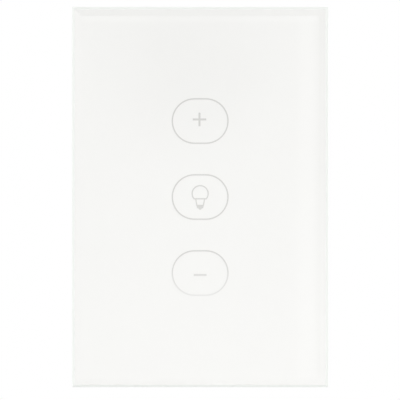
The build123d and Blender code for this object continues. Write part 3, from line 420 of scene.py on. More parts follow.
@dataclass(frozen=True)
class GroundGlassFinish(Finish):
    """A ground arris or edge of the glass."""

    def build(self, groups: Effects) -> Material:
        """Build the material, and let light through it."""
        return pass_light(super().build(groups))


@dataclass(frozen=True)
class GlassFinish:
    """Clear float glass with a trace of surface waviness."""

    name: str
    colour: Colour
    ior: float = 1.45
    waves_per_metre: float = 40.0
    wave_strength: float = 0.02
    wave_depth: float = 0.1 * MM
    nodes: tuple[str, ...] = ()

    def build(self, groups: Effects) -> Material:
        """Build the material.

        Args:
            groups: the shared effects, of which clear glass uses none.

        Returns:
            The finished material.
        """
        material, wiring, shader = blank_material(self.name)
        wiring.fill(shader, {"Base Color": self.colour, "Roughness": 0.0, "IOR": self.ior,
                             "Transmission Weight": 1.0})
        waves = wiring.node("ShaderNodeTexNoise", {"Scale": self.waves_per_metre, "Vector": wiring.where()})
        wiring.bump(shader, waves.outputs["Fac"], self.wave_strength, self.wave_depth)
        return pass_light(material)


FINISHES = (
    Finish("white print", srgb(248.6, 248.1, 246.1), srgb(246.6, 246.1, 244.1), 0.5, bump_strength=0.05,
           nodes=("back_print",)),
    FadingPrintFinish("grey print", srgb(217.6, 216.6, 214.1), srgb(214.6, 213.6, 211.1), 0.5,
                      bump_strength=0.05, nodes=("legend_print",)),
    GroundGlassFinish("ground glass", srgb(246, 248, 245), srgb(243, 246, 242), 0.35, spread=0.2,
                      coat=0.2),
    GroundGlassFinish("ground edge", srgb(222, 235, 228), srgb(214, 229, 221), 0.3, spread=0.2, coat=0.4),
    Finish("foam tape", srgb(40, 40, 41), srgb(31, 31, 32), 0.9, grain_per_metre=5000.0,
           bump_depth=0.08 * MM, bump_strength=0.6, nodes=("bonding_tape",)),
    Finish("satin white moulding", srgb(240, 240, 238), srgb(236, 236, 233), 0.42, spread=0.12,
           bump_strength=0.25, subsurface=0.1, nodes=("front_frame", "base_frame")),
    Finish("light grey moulding", srgb(205, 206, 205), srgb(198, 199, 198), 0.55, spread=0.14,
           grain_per_metre=2600.0, bump_depth=0.04 * MM, bump_strength=0.45, nodes=("rear_housing",)),
    Finish("terminal moulding", srgb(106, 110, 114), srgb(95, 99, 103), 0.48, spread=0.1,
           bump_depth=0.03 * MM, nodes=("terminal_block",)),
    Finish("black nylon", srgb(34, 34, 36), srgb(26, 26, 28), 0.5,
           nodes=("header_socket", "header_body")),
    Finish("opal diffuser", srgb(244, 244, 240), srgb(238, 238, 232), 0.4, subsurface=0.5,
           nodes=("light_guide_plus", "light_guide_lamp", "light_guide_minus")),
    Finish("chip resin", srgb(36, 37, 38), srgb(28, 29, 30), 0.55, bump_strength=0.4,
           nodes=("touch_controller", "chip_parts", "bridge_rectifier", "power_transistors")),
    Finish("lamp resin", srgb(246, 236, 170), srgb(240, 226, 150), 0.3, coat=0.4, nodes=("key_leds",)),
    Finish("clear film", srgb(226, 224, 212), srgb(216, 214, 200), 0.25, coat=0.3,
           nodes=("insulating_sheet",)),
    Finish("fired ferrite", srgb(58, 58, 60), srgb(46, 46, 48), 0.65, bump_strength=0.5,
           nodes=("transformer_core", "choke_core")),
    Finish("yellow tape", srgb(240, 200, 60), srgb(230, 186, 48), 0.35, coat=0.2,
           nodes=("transformer_bobbin",)),
    Finish("sleeve", srgb(32, 34, 58), srgb(26, 28, 48), 0.3, coat=0.3, nodes=("bulk_capacitor",)),
    Finish("yellow box", srgb(226, 192, 96), srgb(216, 180, 84), 0.45, nodes=("suppression_capacitor",)),
    Finish("fuse case", srgb(60, 44, 38), srgb(50, 36, 32), 0.4, nodes=("fuse",)),
    Finish("blue coating", srgb(52, 92, 160), srgb(42, 80, 146), 0.45, bump_strength=0.5,
           nodes=("varistor",)),
    Finish("copper wire", srgb(196, 110, 66), srgb(176, 92, 52), 0.3, metallic=1.0,
           texture=Texture.DRAWN_DEEP, coat=0.3, nodes=("choke_winding",)),
    # A real aluminium tone, darkened well below bare aluminium as painted shade for the heat sink's place
    # deep inside the housing, where it would otherwise mirror the white surroundings out through the louvres.
    Finish("aluminium with painted shade", srgb(158, 160, 164), srgb(142, 144, 149), 0.45, metallic=1.0,
           texture=Texture.DRAWN_UP, bump_strength=0.25, nodes=("heat_sink",)),
    Finish("tinned steel", srgb(192, 193, 192), srgb(176, 177, 176), 0.3, metallic=1.0,
           texture=Texture.DRAWN_UP, bump_strength=0.2, nodes=("shield_can",)),
    Finish("gilt pin", srgb(226, 190, 110), srgb(214, 176, 96), 0.25, metallic=1.0,
           texture=Texture.DRAWN_DEEP, nodes=("header_pins",)),
    Finish("solder", srgb(204, 206, 208), srgb(180, 182, 184), 0.28, metallic=1.0),
    Finish("brass bar", srgb(214, 180, 104), srgb(200, 164, 88), 0.32, metallic=1.0,
           texture=Texture.DRAWN_UP,
           nodes=("contact_bar_live", "contact_bar_neutral", "contact_bar_load")),
    Finish("bright nickel", srgb(212, 208, 200), srgb(196, 192, 184), 0.24, metallic=1.0,
           texture=Texture.DRAWN_UP, bump_strength=0.2,
           nodes=("clamp_cage_live", "clamp_cage_neutral", "clamp_cage_load")),
    Finish("yellow zinc", srgb(206, 190, 140), srgb(190, 170, 118), 0.3, metallic=1.0,
           cloud_per_metre=400.0),
    Finish("blue zinc", srgb(196, 200, 206), srgb(176, 180, 188), 0.3, metallic=1.0,
           cloud_per_metre=400.0),
    Finish("spring steel", srgb(190, 190, 188), srgb(170, 170, 168), 0.25, metallic=1.0,
           texture=Texture.DRAWN_ACROSS),
    ZincFinish("zinc sheet", srgb(190, 192, 195), srgb(176, 178, 182), 0.32, metallic=1.0,
               grain_per_metre=1800.0, texture=Texture.DRAWN_UP, bump_strength=0.25,
               nodes=("mounting_yoke",)),
    BoardFinish("green board", srgb(18, 92, 56), srgb(24, 104, 64), 0.32, bump_depth=0.01 * MM, coat=0.5,
                nodes=("touch_board", "power_board")),
    BoardFinish("black board", srgb(22, 24, 27), srgb(31, 33, 36), 0.34, bump_depth=0.01 * MM, coat=0.4,
                nodes=("radio_module",)),
    Finish("raised trace", srgb(34, 122, 76), srgb(28, 112, 68), 0.32, coat=0.5),
    GlassFinish("clear glass", (0.994, 1.0, 0.996, 1.0)),
)

SOFT_EDGES = {
    0.3 * MM: ("rear_housing", "shield_can"),
    0.2 * MM: ("front_frame", "base_frame", "terminal_block"),
    0.15 * MM: ("clamp_cage_live", "clamp_cage_neutral", "clamp_cage_load"),
    0.12 * MM: ("mounting_yoke", "header_socket", "header_body"),
    0.1 * MM: ("touch_controller",),
}


@dataclass
class Workshop:
    """Builds every finish once, and gives each piece its mesh, finish and body."""

    weld_within: float = 0.002 * MM
    flat_within: float = math.radians(1)
    sharp_above: float = math.radians(40)
    rounding_facets: int = 2
    materials: dict[str, Material] = field(init=False)

    def __post_init__(self) -> None:
        """Build the shared effects and the finishes."""
        groups = Effects()
        self.materials = {finish.name: finish.build(groups) for finish in FINISHES}

    def dress(self, node: str, finish: str) -> None:
        """Give a CAD node its finish.

        Args:
            node: the node's name.
            finish: the finish's name.
        """
        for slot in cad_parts[node].material_slots:
            slot.link = "OBJECT"
            slot.material = self.materials[finish]
        LOG.info("dressed %s in %s", node, finish)

    def soften(self, node: str, width: float) -> None:
        """Round a CAD node's sharp edges with modifiers, its own mesh unchanged.

        The mesh is made of triangles, so its points are joined and its flats made whole first.
        Without that the rounding leaves cracks.

        Args:
            node: the node's name.
            width: the width of the rounding.
        """
        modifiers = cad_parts[node].modifiers
        modifiers.new("weld", "WELD").merge_threshold = self.weld_within
        flat = modifiers.new("flats", "DECIMATE")
        flat.decimate_type = "DISSOLVE"
        flat.angle_limit = self.flat_within
        rounding = modifiers.new("edges", "BEVEL")
        rounding.width = width
        rounding.segments = self.rounding_facets
        rounding.limit_method = "ANGLE"
        rounding.angle_limit = self.sharp_above

    def place(self, name: str, mesh: Mesh, finishes: Sequence[str], body: str, slot: str,
              stands_for: Sequence[str] = ()) -> None:
        """Turn a built mesh into a piece of the object.

        Args:
            name: the piece's name.
            mesh: its mesh, in metres in the frame's own place.
            finishes: the finishes that its faces' material numbers stand for.
            body: the CAD body it rides on.
            slot: the record's slot; not used.
            stands_for: the CAD nodes that it replaces.
        """
        bmesh.ops.recalc_face_normals(mesh, faces=mesh.faces)
        data = bpy.data.meshes.new(name)
        mesh.to_mesh(data)
        mesh.free()
        for finish in finishes:
            data.materials.append(self.materials[finish])
        piece = bpy.data.objects.new(name, data)
        bpy.context.scene.collection.objects.link(piece)
        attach(piece, body)
        if stands_for:
            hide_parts(*stands_for)
        LOG.info("made %s: %d faces", name, len(data.polygons))


# ---- mesh helpers --------------------------------------------------------------------------


def turns(steps: int, shift: float = 0.0) -> list[float]:
    """Give even angles round a circle, shifted by a share of a step."""
    return [math.tau * (step + shift) / steps for step in range(steps)]


def polar(centre: Place, radius: float, turn: float, depth: float) -> Point:
    """Give the point at a radius and angle from a line along Y through the centre's X and Z."""
    return (centre[0] + radius * math.cos(turn), depth, centre[1] + radius * math.sin(turn))


def add_ring(mesh: Mesh, points: Iterable[Sequence[float]]) -> Ring:
    """Add a vertex at each point, and give them in order."""
    return [mesh.verts.new(point) for point in points]


def add_loft(mesh: Mesh, rings: Sequence[Ring], curved: int = 0) -> None:
    """Join rings of equal length with quads, and close the first and the last.

    Args:
        mesh: the mesh to add to.
        rings: the rings from one end to the other.
        curved: how many bands between rings, from the first on, shade as a curve.
    """
    count = len(rings[0])
    for band, (first, second) in enumerate(zip(rings, rings[1:])):
        for step in range(count):
            after = (step + 1) % count
            face = mesh.faces.new((first[step], first[after], second[after], second[step]))
            face.smooth = band < curved
    mesh.faces.new(rings[0])
    mesh.faces.new(list(reversed(rings[-1])))


def add_lathe(mesh: Mesh, centre: Place, profile: Sequence[Place], steps: int) -> None:
    """Add a turned solid about a line along Y, shaded as a curve.

    Args:
        mesh: the mesh to add to.
        centre: X and Z of the line.
        profile: radius and depth of each ring, from one end to the other.
        steps: how many facets go round.
    """
    rings = [add_ring(mesh, [polar(centre, radius, turn, depth) for turn in turns(steps)])
             for radius, depth in profile]
    add_loft(mesh, rings, len(rings))


def add_tube(mesh: Mesh, path: Sequence[Vector], radius: float, sides: int = 10) -> None:
    """Add a round wire along a path.

    Args:
        mesh: the mesh to add to.
        path: the wire's centre line, which never runs along Y.
        radius: the wire's radius.
        sides: how many facets go round the wire.
    """
    rings = []
    for index, point in enumerate(path):
        along = (path[min(index + 1, len(path) - 1)] - path[max(index - 1, 0)]).normalized()
        across = along.cross(Vector((0.0, 1.0, 0.0))).normalized()
        upward = across.cross(along)
        rings.append(add_ring(mesh, [point + radius * (across * math.cos(turn) + upward * math.sin(turn))
                                     for turn in turns(sides)]))
    add_loft(mesh, rings, len(rings))


# ---- sub-assemblies ------------------------------------------------------------------------


@dataclass
class Assembly:
    """A sub-assembly, which the workshop makes piece by piece."""

    shop: Workshop


@dataclass
class GlassFront(Assembly):
    """The glass with its polished bevel, ground arrises and softened edges."""

    finishes: tuple[str, ...] = ("clear glass", "ground glass", "ground edge")
    bevel_width: float = 2.75 * MM
    bevel_drop: float = 0.25 * MM
    arris: float = 0.78 * MM
    back_arris: float = 0.35 * MM
    wetting: float = 0.02 * MM
    edge_radius: float = 0.12 * MM
    edge_facets: int = 2

    def rings(self) -> list[Place]:
        """Give inset and depth of each ring of the slab, from its front table to its back face.

        Returns:
            Pairs of inset and depth.
        """
        low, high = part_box("glass_panel")
        shoulder = low.y + self.bevel_drop
        back = high.y + self.wetting
        return [(self.bevel_width, low.y), (self.arris, shoulder), (0.0, shoulder + self.arris),
                (0.0, back - self.back_arris), (self.back_arris, back)]

    def slab(self) -> Mesh:
        """Build the slab: clear table, bevel and back, a ground arris in front, ground edges behind it.

        Returns:
            The mesh.
        """
        low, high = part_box("glass_panel")
        mesh = bmesh.new()
        loops = []
        for inset, depth in self.rings():
            left, right, foot, head = low.x + inset, high.x - inset, low.z + inset, high.z - inset
            corners = ((left, foot), (right, foot), (right, head), (left, head))
            loops.append(add_ring(mesh, [(x, depth, z) for x, z in corners]))
        add_loft(mesh, loops)
        arris, edge, back = set(loops[1] + loops[2]), set(loops[2] + loops[3] + loops[4]), set(loops[4])
        for face in mesh.faces:
            corners = set(face.verts)
            if corners <= arris:
                face.material_index = self.finishes.index("ground glass")
            elif corners <= edge and corners != back:
                face.material_index = self.finishes.index("ground edge")
        bmesh.ops.bevel(mesh, geom=mesh.edges[:], offset=self.edge_radius, offset_type="OFFSET",
                        segments=self.edge_facets, profile=0.5, affect="EDGES", clamp_overlap=True,
                        material=-1)
        return mesh

    def build(self) -> None:
        """Make the glass."""
        self.shop.place("glass_front", self.slab(), self.finishes, "face", "panel_glass", ["glass_panel"])


@dataclass(frozen=True)
class CrossScrew:
    """A screw along Y with its head towards the wall: a cross slot and a rolled thread.

    The first seven fields are its place and sizes. The others are its form, as shares of them.
    """

    centre: Place
    seat: float
    head_height: float
    head_radius: float
    shank_radius: float
    length: float
    pitch: float
    edge: float = 0.22
    edge_round: Place = (0.35, 0.3)
    slot_reach: float = 0.62
    slot_half: float = 0.13
    slot_depth: float = 0.5
    slot_taper: float = 0.8
    thread_depth: float = 0.45
    point: float = 0.35
    point_radius: float = 0.75
    head_steps: int = 48
    thread_steps: int = 24
    rows_per_turn: int = 4
    least_turns: int = 2

    def slot(self, turn: float) -> float:
        """Give how far the cross slot reaches in one direction.

        Args:
            turn: the direction's angle.

        Returns:
            The distance from the middle to the slot's outline.
        """
        arm, half = self.head_radius * self.slot_reach, self.head_radius * self.slot_half
        across, up = abs(math.cos(turn)), abs(math.sin(turn))
        reach_x = arm if up * arm <= half * across else half / up
        reach_z = arm if across * arm <= half * up else half / across
        return max(min(reach_x, arm / across), min(reach_z, arm / up))

    def head(self, mesh: Mesh) -> None:
        """Add the head with its rounded edge and its tapered slot.

        Args:
            mesh: the mesh to add to.
        """
        top, edge = self.seat + self.head_height, self.head_height * self.edge
        floor = top - self.head_height * self.slot_depth
        inward, below = self.edge_round
        # Half a step of shift keeps every angle off the axes, where the slot's outline can't be divided.
        around = turns(self.head_steps, 0.5)
        whole, slot = [1.0] * self.head_steps, [self.slot(turn) for turn in around]
        profile = ((whole, self.head_radius, self.seat), (whole, self.head_radius, top - edge),
                   (whole, self.head_radius - edge * inward, top - edge * below),
                   (whole, self.head_radius - edge, top), (slot, 1.0, top), (slot, self.slot_taper, floor))
        rings = [add_ring(mesh, [polar(self.centre, scale * reach, turn, depth)
                                 for reach, turn in zip(reaches, around)])
                 for reaches, scale, depth in profile]
        add_loft(mesh, rings, curved=3)

    def thread(self, mesh: Mesh) -> None:
        """Add the shank with a helical thread, its crests on the stated radius.

        Args:
            mesh: the mesh to add to.
        """
        rows = max(int(self.length / self.pitch * self.rows_per_turn), self.least_turns * self.rows_per_turn)
        rings = []
        for row in range(rows + 1):
            along = self.length * row / rows
            taper = min(1.0, (self.length - along) / self.pitch + self.point)
            narrow = self.point_radius + (1 - self.point_radius) * taper
            ring = []
            for step, turn in enumerate(turns(self.thread_steps)):
                phase = (along / self.pitch + step / self.thread_steps) % 1.0
                sunk = self.pitch * self.thread_depth * abs(2 * phase - 1)
                ring.append(polar(self.centre, (self.shank_radius - sunk) * narrow, turn, self.seat - along))
            rings.append(add_ring(mesh, ring))
        add_loft(mesh, rings, len(rings))

    def add(self, mesh: Mesh) -> None:
        """Add the whole screw to a mesh."""
        self.head(mesh)
        self.thread(mesh)


@dataclass
class TouchBoard(Assembly):
    """The touch board with its traces, pads, springs, radio and screws."""

    trace_width: float = 0.35 * MM
    trace_height: float = 0.04 * MM
    sink: float = 0.01 * MM
    pin_count: int = 7
    pin_pitch: float = 2.54 * MM
    first_pin: float = 1.3 * MM
    leg_pitch: float = 1.27 * MM
    first_leg: float = 1.0 * MM
    fan_start: float = 1.2 * MM
    fan_pitch: float = 0.7 * MM
    stub_count: int = 6
    stub_start: float = -7.5 * MM
    stub_pitch: float = 3.0 * MM
    stub_length: float = 4.2 * MM
    bus_count: int = 4
    bus_start: float = 11.0 * MM
    bus_pitch: float = 1.2 * MM
    bus_foot: float = -31.0 * MM
    bus_head: float = 26.0 * MM
    bus_step: float = 3.0 * MM
    bus_turn: float = 1.6 * MM
    pad_radius: float = 0.7 * MM
    pad_lift: float = 0.05 * MM
    pad_top: float = 0.7
    pad_column: float = 24.0 * MM
    pad_rows: tuple[float, ...] = (-28 * MM, -22 * MM, -16 * MM, 16 * MM, 22 * MM, 28 * MM)
    test_row: float = -32.0 * MM
    test_pitch: float = 2.2 * MM
    tests_each_way: int = 4
    spring_radius: float = 4.55 * MM
    spring_wire: float = 0.22 * MM
    spring_turns: float = 2.6
    spring_steps: int = 150
    spring_flat_share: float = 0.28
    screw_places: tuple[Place, Place] = ((-16.8 * MM, 12.0 * MM), (16.8 * MM, -12.0 * MM))
    screw_head: float = 1.7 * MM
    screw_shank: float = 0.9 * MM
    screw_pitch: float = 0.5 * MM
    joint_count: int = 8
    joint_pitch: float = 2.0 * MM
    joint_inset: float = 0.1 * MM
    joint_foot: Place = (0.55 * MM, 0.02 * MM)
    joint_side: Place = (0.5 * MM, -0.2 * MM)
    joint_top: Place = (0.35 * MM, 0.06 * MM)
    aerial_folds: int = 5
    aerial_pitch: float = 2.4 * MM
    aerial_fold: float = 3.2 * MM
    aerial_foot: float = 4.4 * MM
    aerial_corner: Place = (1.4 * MM, 1.0 * MM)

    def add_trace(self, mesh: Mesh, route: Sequence[Place], face: float) -> None:
        """Add one raised conductor on a board's back.

        Args:
            mesh: the mesh to add to.
            route: corners of the trace in X and Z.
            face: depth of the board's back.
        """
        half = self.trace_width / 2
        lift = Vector((0.0, self.trace_height, 0.0))
        for (x1, z1), (x2, z2) in zip(route, route[1:]):
            along = Vector((x2 - x1, 0.0, z2 - z1))
            if along.length < self.trace_width:
                continue
            unit = along.normalized()
            side = Vector((unit.z, 0.0, -unit.x)) * half
            start = Vector((x1, face - self.sink, z1)) - unit * half
            end = Vector((x2, face - self.sink, z2)) + unit * half
            foot = (start - side, start + side, end + side, end - side)
            add_loft(mesh, (add_ring(mesh, foot), add_ring(mesh, [corner + lift for corner in foot])))

    def traces(self) -> None:
        """Make the conductors between socket, controller, radio and keys."""
        mesh = bmesh.new()
        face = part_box("touch_board")[1].y
        socket_low, socket_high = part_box("header_socket")
        chip_low, chip_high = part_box("touch_controller")
        for line in range(self.pin_count):
            x = socket_low.x + self.first_pin + self.pin_pitch * line
            chip_z = chip_high.z - self.first_leg - self.leg_pitch * line
            turn_z = socket_low.z - self.fan_start - self.fan_pitch * line
            chip_x = chip_high.x if x > 0 else chip_low.x
            self.add_trace(mesh, ((x, socket_low.z), (x, turn_z), (chip_x, turn_z), (chip_x, chip_z)), face)
        for line in range(self.stub_count):
            x = self.stub_start + self.stub_pitch * line
            self.add_trace(mesh, ((x, socket_high.z), (x, socket_high.z + self.stub_length)), face)
        for side in (-1, 1):
            for line in range(self.bus_count):
                x = side * (self.bus_start + self.bus_pitch * line)
                head = self.bus_head - self.bus_step * line
                turned = (x - side * self.bus_turn, head + self.bus_turn)
                self.add_trace(mesh, ((x, self.bus_foot), (x, head), turned), face)
        self.shop.place("touch_board_traces", mesh, ("raised trace",), "face", "green_board")

    def pads(self) -> None:
        """Make the tinned pads: two columns of six and a row of test points."""
        mesh = bmesh.new()
        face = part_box("touch_board")[1].y
        points = [(side * self.pad_column, row) for side in (-1, 1) for row in self.pad_rows]
        points += [(line * self.test_pitch, self.test_row)
                   for line in range(-self.tests_each_way, self.tests_each_way + 1)]
        for point in points:
            add_lathe(mesh, point, ((self.pad_radius, face), (self.pad_radius, face + self.pad_lift),
                                    (self.pad_radius * self.pad_top, face + 2 * self.pad_lift)),
                      steps=20)
        self.shop.place("touch_board_pads", mesh, ("solder",), "face", "tinned_steel")

    def springs(self) -> None:
        """Make the touch springs: open turns between a flat turn at each end."""
        flat = self.spring_flat_share
        for key in ("plus", "lamp", "minus"):
            low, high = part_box(f"touch_spring_{key}")
            middle = (low + high) / 2
            travel = high.y - low.y - 2 * self.spring_wire
            path = []
            for step in range(self.spring_steps + 1):
                share = step / self.spring_steps
                turn = math.tau * self.spring_turns * share
                rise = min(max((share - flat) / (1 - 2 * flat), 0.0), 1.0)
                path.append(Vector(polar((middle.x, middle.z), self.spring_radius, turn,
                                         low.y + self.spring_wire + travel * rise)))
            mesh = bmesh.new()
            add_tube(mesh, path, self.spring_wire)
            self.shop.place(f"coil_{key}", mesh, ("spring steel",), "face", "spring_steel",
                            [f"touch_spring_{key}"])

    def screws(self) -> None:
        """Make the two board screws."""
        low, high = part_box("board_screws")
        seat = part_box("touch_board")[1].y
        mesh = bmesh.new()
        for centre in self.screw_places:
            CrossScrew(centre, seat, high.y - seat, self.screw_head, self.screw_shank, seat - low.y,
                       self.screw_pitch).add(mesh)
        self.shop.place("board_screw_set", mesh, ("blue zinc",), "face", "zinc_screw", ["board_screws"])

    def radio(self) -> None:
        """Make the radio board's edge joints and its folded aerial."""
        low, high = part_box("radio_module")
        profile = [(radius, level + lift) for (radius, lift), level in
                   ((self.joint_foot, low.y), (self.joint_side, high.y), (self.joint_top, high.y))]
        mesh = bmesh.new()
        for x in (low.x + self.joint_inset, high.x - self.joint_inset):
            for joint in range(self.joint_count):
                add_lathe(mesh, (x, low.z + self.joint_pitch * (joint + 1)), profile, steps=14)
        self.shop.place("radio_joints", mesh, ("solder",), "face", "tinned_steel")
        aerial = bmesh.new()
        left, top = low.x + self.aerial_corner[0], high.z - self.aerial_corner[1]
        route = [(left, top - self.aerial_foot), (left, top)]
        for fold in range(self.aerial_folds):
            x = left + (fold + 1) * self.aerial_pitch
            level = top - self.aerial_fold if fold % 2 == 0 else top
            route += [(x, route[-1][1]), (x, level)]
        self.add_trace(aerial, route, high.y)
        self.shop.place("radio_aerial", aerial, ("gilt pin",), "face", "gilt_pin")

    def build(self) -> None:
        """Make every piece of the touch board."""
        for make in (self.traces, self.pads, self.springs, self.screws, self.radio):
            make()


@dataclass
class Terminals(Assembly):
    """The three clamps: threaded screws and the teeth inside the cages."""

    wires: tuple[tuple[str, float], ...] = (("live", -10.0 * MM), ("neutral", 0.0), ("load", 10.0 * MM))
    head_radius: float = 2.6 * MM
    head_height: float = 2.0 * MM
    thread_radius: float = 1.74 * MM
    thread_pitch: float = 0.6 * MM
    strip: float = 0.9 * MM
    side_wall: float = 1.2 * MM
    tooth_height: float = 0.2 * MM
    tooth_half: float = 0.25 * MM
    tooth_sink: float = 0.02 * MM
    tooth_count: int = 6

    def screw(self, wire: str, x: float) -> None:
        """Make one clamp screw.

        Args:
            wire: the terminal's name.
            x: its place across.
        """
        low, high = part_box(f"terminal_screw_{wire}")
        seat = high.y - self.head_height
        mesh = bmesh.new()
        CrossScrew((x, (low.z + high.z) / 2), seat, self.head_height, self.head_radius,
                   self.thread_radius, seat - low.y, self.thread_pitch).add(mesh)
        self.shop.place(f"clamp_screw_{wire}", mesh, ("yellow zinc",), f"screw_{wire}", "clamp_screw",
                        [f"terminal_screw_{wire}"])

    def teeth(self, wire: str) -> None:
        """Make the pressed teeth on the floor of one cage.

        Args:
            wire: the terminal's name.
        """
        low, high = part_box(f"clamp_cage_{wire}")
        floor = low.y + self.strip
        base, crest = floor - self.tooth_sink, floor + self.tooth_height
        pitch = (high.z - low.z) / (self.tooth_count + 1)
        mesh = bmesh.new()
        for tooth in range(self.tooth_count):
            z = low.z + (tooth + 1) * pitch
            outline = ((base, z - self.tooth_half), (crest, z), (base, z + self.tooth_half))
            ends = [add_ring(mesh, [(x, depth, height) for depth, height in outline])
                    for x in (low.x + self.side_wall, high.x - self.side_wall)]
            add_loft(mesh, ends)
        self.shop.place(f"cage_teeth_{wire}", mesh, ("bright nickel",), f"cage_{wire}", "plated_cage")

    def build(self) -> None:
        """Make every clamp's pieces."""
        for wire, x in self.wires:
            self.screw(wire, x)
            self.teeth(wire)


@dataclass
class RearCase(Assembly):
    """The housing's four screws."""

    screw_x: float = 20.4 * MM
    screw_z: float = 29.4 * MM
    head_height: float = 1.8 * MM
    head_radius: float = 2.2 * MM
    shank_radius: float = 1.25 * MM
    thread_pitch: float = 1.0 * MM

    def build(self) -> None:
        """Make the four case screws."""
        low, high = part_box("case_screws")
        seat = high.y - self.head_height
        mesh = bmesh.new()
        for x in (-self.screw_x, self.screw_x):
            for z in (-self.screw_z, self.screw_z):
                CrossScrew((x, z), seat, self.head_height, self.head_radius, self.shank_radius,
                           seat - low.y, self.thread_pitch).add(mesh)
        self.shop.place("case_screw_set", mesh, ("blue zinc",), "base", "zinc_screw", ["case_screws"])


# ---- studio --------------------------------------------------------------------------------


@dataclass(frozen=True)
class SoftLamp:
    """One square area lamp that shines at the object."""

    name: str
    place: Point
    size: float
    power: float
    mirrored: bool = True

    def build(self) -> None:
        """Make the lamp and turn it to the object."""
        data = bpy.data.lights.new(self.name, "AREA")
        data.shape = "SQUARE"
        data.size = self.size
        data.energy = self.power
        lamp = bpy.data.objects.new(self.name, data)
        lamp.location = self.place
        lamp.rotation_mode = "QUATERNION"
        lamp.rotation_quaternion = (-Vector(self.place)).to_track_quat("-Z", "Y")
        lamp.visible_glossy = self.mirrored
        bpy.context.scene.collection.objects.link(lamp)


@dataclass(frozen=True)
class MirrorCards:
    """Soft dark and bright cards round the camera, which only glossy surfaces show.

    The flat of the glass mirrors what lies near the camera, and each bevel what lies to its own
    side. Places are parts of a direction of length 1. Shades are shares of white taken away, so a
    card below 0 is brighter than white. A cloud or band runs from a first place and shade to a last.
    """

    base: float = -0.17
    rise: float = 3.4
    slope: float = 5.5
    cloud_place: Point = (-0.004, -1.0, 0.04)
    cloud: tuple[float, ...] = (0.004, 0.036, 0.75, 0.0)
    upright_bands: tuple[tuple[float, ...], ...] = ((0.029, 0.0325, 0.0, -0.5), (0.034, 0.0375, 0.0, 0.85))
    level_bands: tuple[tuple[float, ...], ...] = ((0.0545, 0.0558, 0.0, -0.4), (0.0562, 0.0575, 0.0, 0.4))
    side_from: float = 0.1
    side_to: float = 0.16
    right_base: float = 0.5
    right_rise: float = 10.0
    above: float = 0.95
    left: float = -0.33
    below: float = -0.35
    brightest: float = -0.6
    darkest: float = 1.0
    outer: float = -0.88
    inner: float = -0.95

    def build(self, wiring: Wiring) -> Socket:
        """Work out what the cards take from a direction.

        Args:
            wiring: the world's nodes.

        Returns:
            The share of white that is taken away.
        """
        direction = wiring.node("ShaderNodeTexCoord").outputs["Generated"]
        right, ahead, up = wiring.node("ShaderNodeSeparateXYZ", {0: direction}).outputs
        apart = wiring.node("ShaderNodeVectorMath", {0: direction, 1: self.cloud_place},
                            operation="DISTANCE").outputs["Value"]
        taken = wiring.maths("MULTIPLY_ADD", up, self.rise, self.base)
        taken = wiring.maths("MULTIPLY_ADD", right, self.slope, taken)
        bands = [(apart, self.cloud), *((right, band) for band in self.upright_bands),
                 *((up, band) for band in self.level_bands)]
        for socket, band in bands:
            taken = wiring.maths("ADD", taken, wiring.ramp(socket, *band))
        beside = wiring.maths("MULTIPLY_ADD", up, self.right_rise, self.right_base)
        taken = wiring.ramp(right, self.side_from, self.side_to, taken, beside)
        taken = wiring.ramp(up, self.side_from, self.side_to, taken, self.above)
        taken = wiring.ramp(right, -self.side_to, -self.side_from, self.left, taken)
        taken = wiring.ramp(up, -self.side_to, -self.side_from, self.below, taken)
        held = wiring.maths("MINIMUM", wiring.maths("MAXIMUM", taken, self.brightest), self.darkest)
        return wiring.maths("MULTIPLY", held, wiring.ramp(ahead, self.outer, self.inner))


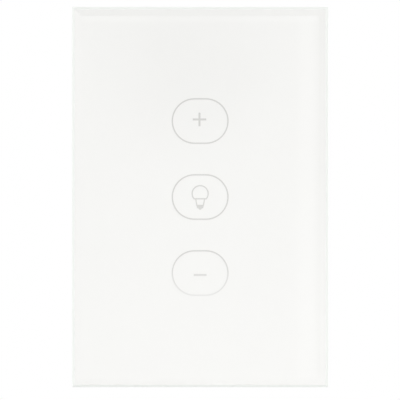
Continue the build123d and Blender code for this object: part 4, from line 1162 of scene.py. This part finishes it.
@dataclass
class Studio:
    """Camera, lamps, white surroundings and the floor far below the panel."""

    camera_distance: float = 1.0
    camera_reach: tuple[float, float] = (0.05, 20.0)
    frame_width: float = 123.98 * MM
    aim_x: float = -0.04 * MM
    aim_z: float = -0.92 * MM
    floor_drop: float = 0.45
    floor_half: float = 1.6
    floor_shade: float = 0.52
    floor_roughness: float = 0.9
    floor_glow: float = 0.5
    fade_from: float = 0.35
    fade_to: float = 0.97
    surround: float = 0.59
    cards: MirrorCards = MirrorCards()
    lamps: tuple[SoftLamp, ...] = (
        SoftLamp("key lamp", (0.55, -0.8, -0.25), 0.5, 4.2, mirrored=False),
        SoftLamp("left lamp", (-1.25, -0.4, 0.1), 1.0, 6.6, mirrored=False),
        SoftLamp("top lamp", (0.0, 0.55, 1.15), 1.2, 5.6),
        SoftLamp("rear lamp", (0.9, 1.0, 0.5), 1.5, 6.0),
        SoftLamp("rear left lamp", (-1.0, 0.8, 0.2), 1.2, 3.2),
    )

    def camera(self) -> None:
        """Place the camera straight in front of the glass."""
        data = bpy.data.cameras.new("camera")
        data.lens = data.sensor_width * self.camera_distance / self.frame_width
        data.clip_start, data.clip_end = self.camera_reach
        eye = bpy.data.objects.new("camera", data)
        eye.location = (self.aim_x, CAD_BOX[0].y - self.camera_distance, self.aim_z)
        eye.rotation_euler = (math.radians(90), 0.0, 0.0)
        bpy.context.scene.collection.objects.link(eye)
        bpy.context.scene.camera = eye

    def seen(self, path: Mapping[str, Socket], wiring: Wiring) -> Socket:
        """Give 1 for rays that show a surface as it is: to the camera, in gloss and through glass."""
        direct = wiring.maths("MAXIMUM", path[Ray.CAMERA.value], path[Ray.TRANSMISSION.value])
        return wiring.maths("MAXIMUM", direct, path[Ray.GLOSSY.value])

    def surroundings(self) -> None:
        """Light evenly, and show plain white to the camera, to gloss and through glass."""
        world = bpy.data.worlds.new("white studio")
        world.use_nodes = True
        wiring = Wiring(world.node_tree)
        path = wiring.node("ShaderNodeLightPath").outputs
        level = wiring.maths("MULTIPLY_ADD", self.seen(path, wiring), 1.0 - self.surround, self.surround)
        shaded = wiring.maths("MULTIPLY", self.cards.build(wiring), path[Ray.GLOSSY.value])
        strength = wiring.maths("SUBTRACT", level, shaded)
        background = world.node_tree.nodes["Background"]
        wiring.fill(background, {"Color": (1.0, 1.0, 1.0, 1.0), "Strength": strength})
        bpy.context.scene.world = world

    def floor(self) -> None:
        """Lay a pale floor that shows white where no shadow falls, and nothing from below."""
        mesh = bmesh.new()
        half = self.floor_half
        corners = ((-half, -half), (half, -half), (half, half), (-half, half))
        mesh.faces.new(add_ring(mesh, [(x, y, -self.floor_drop) for x, y in corners]))
        data = bpy.data.meshes.new("floor")
        mesh.to_mesh(data)
        mesh.free()
        ground = bpy.data.objects.new("floor", data)
        bpy.context.scene.collection.objects.link(ground)
        data.materials.append(self.floor_material())

    def floor_material(self) -> Material:
        """Build the floor's material: white where it is lit, and clear from below and at its rim.

        Returns:
            The material.
        """
        material, wiring, matte = blank_material("pale floor")
        shade = self.floor_shade
        wiring.fill(matte, {"Base Color": (shade, shade, shade, 1.0), "Roughness": self.floor_roughness})
        path = wiring.node("ShaderNodeLightPath").outputs
        strength = wiring.maths("MULTIPLY", self.seen(path, wiring), self.floor_glow)
        glow = wiring.node("ShaderNodeEmission", {"Strength": strength})
        lit = wiring.node("ShaderNodeAddShader", {0: matte.outputs[0], 1: glow.outputs[0]})
        reach = wiring.node("ShaderNodeVectorMath", {0: wiring.where()}, operation="LENGTH").outputs["Value"]
        rim = wiring.ramp(reach, self.floor_half * self.fade_from, self.floor_half * self.fade_to)
        below = wiring.node("ShaderNodeNewGeometry").outputs["Backfacing"]
        wiring.mix_shaders(wiring.maths("MAXIMUM", rim, below), lit, wiring.node("ShaderNodeBsdfTransparent"))
        return material

    def build(self) -> None:
        """Set up everything that isn't the object."""
        self.camera()
        self.surroundings()
        self.floor()
        for lamp in self.lamps:
            lamp.build()
        bpy.context.scene.view_settings.view_transform = "Standard"


def dress_nodes(shop: Workshop) -> None:
    """Give every CAD node that stays its finish, and round the edges of those that show.

    Args:
        shop: gives the finishes.
    """
    for finish in FINISHES:
        for node in finish.nodes:
            shop.dress(node, finish.name)
    for width, nodes in SOFT_EDGES.items():
        for node in nodes:
            shop.soften(node, width)


def main() -> None:
    """Build the whole scene in order."""
    logging.basicConfig(level=logging.INFO, format="%(message)s")
    shop = Workshop()
    dress_nodes(shop)
    for assembly in (GlassFront, TouchBoard, Terminals, RearCase):
        assembly(shop).build()
    Studio().build()


if __name__ == "__main__":
    main()
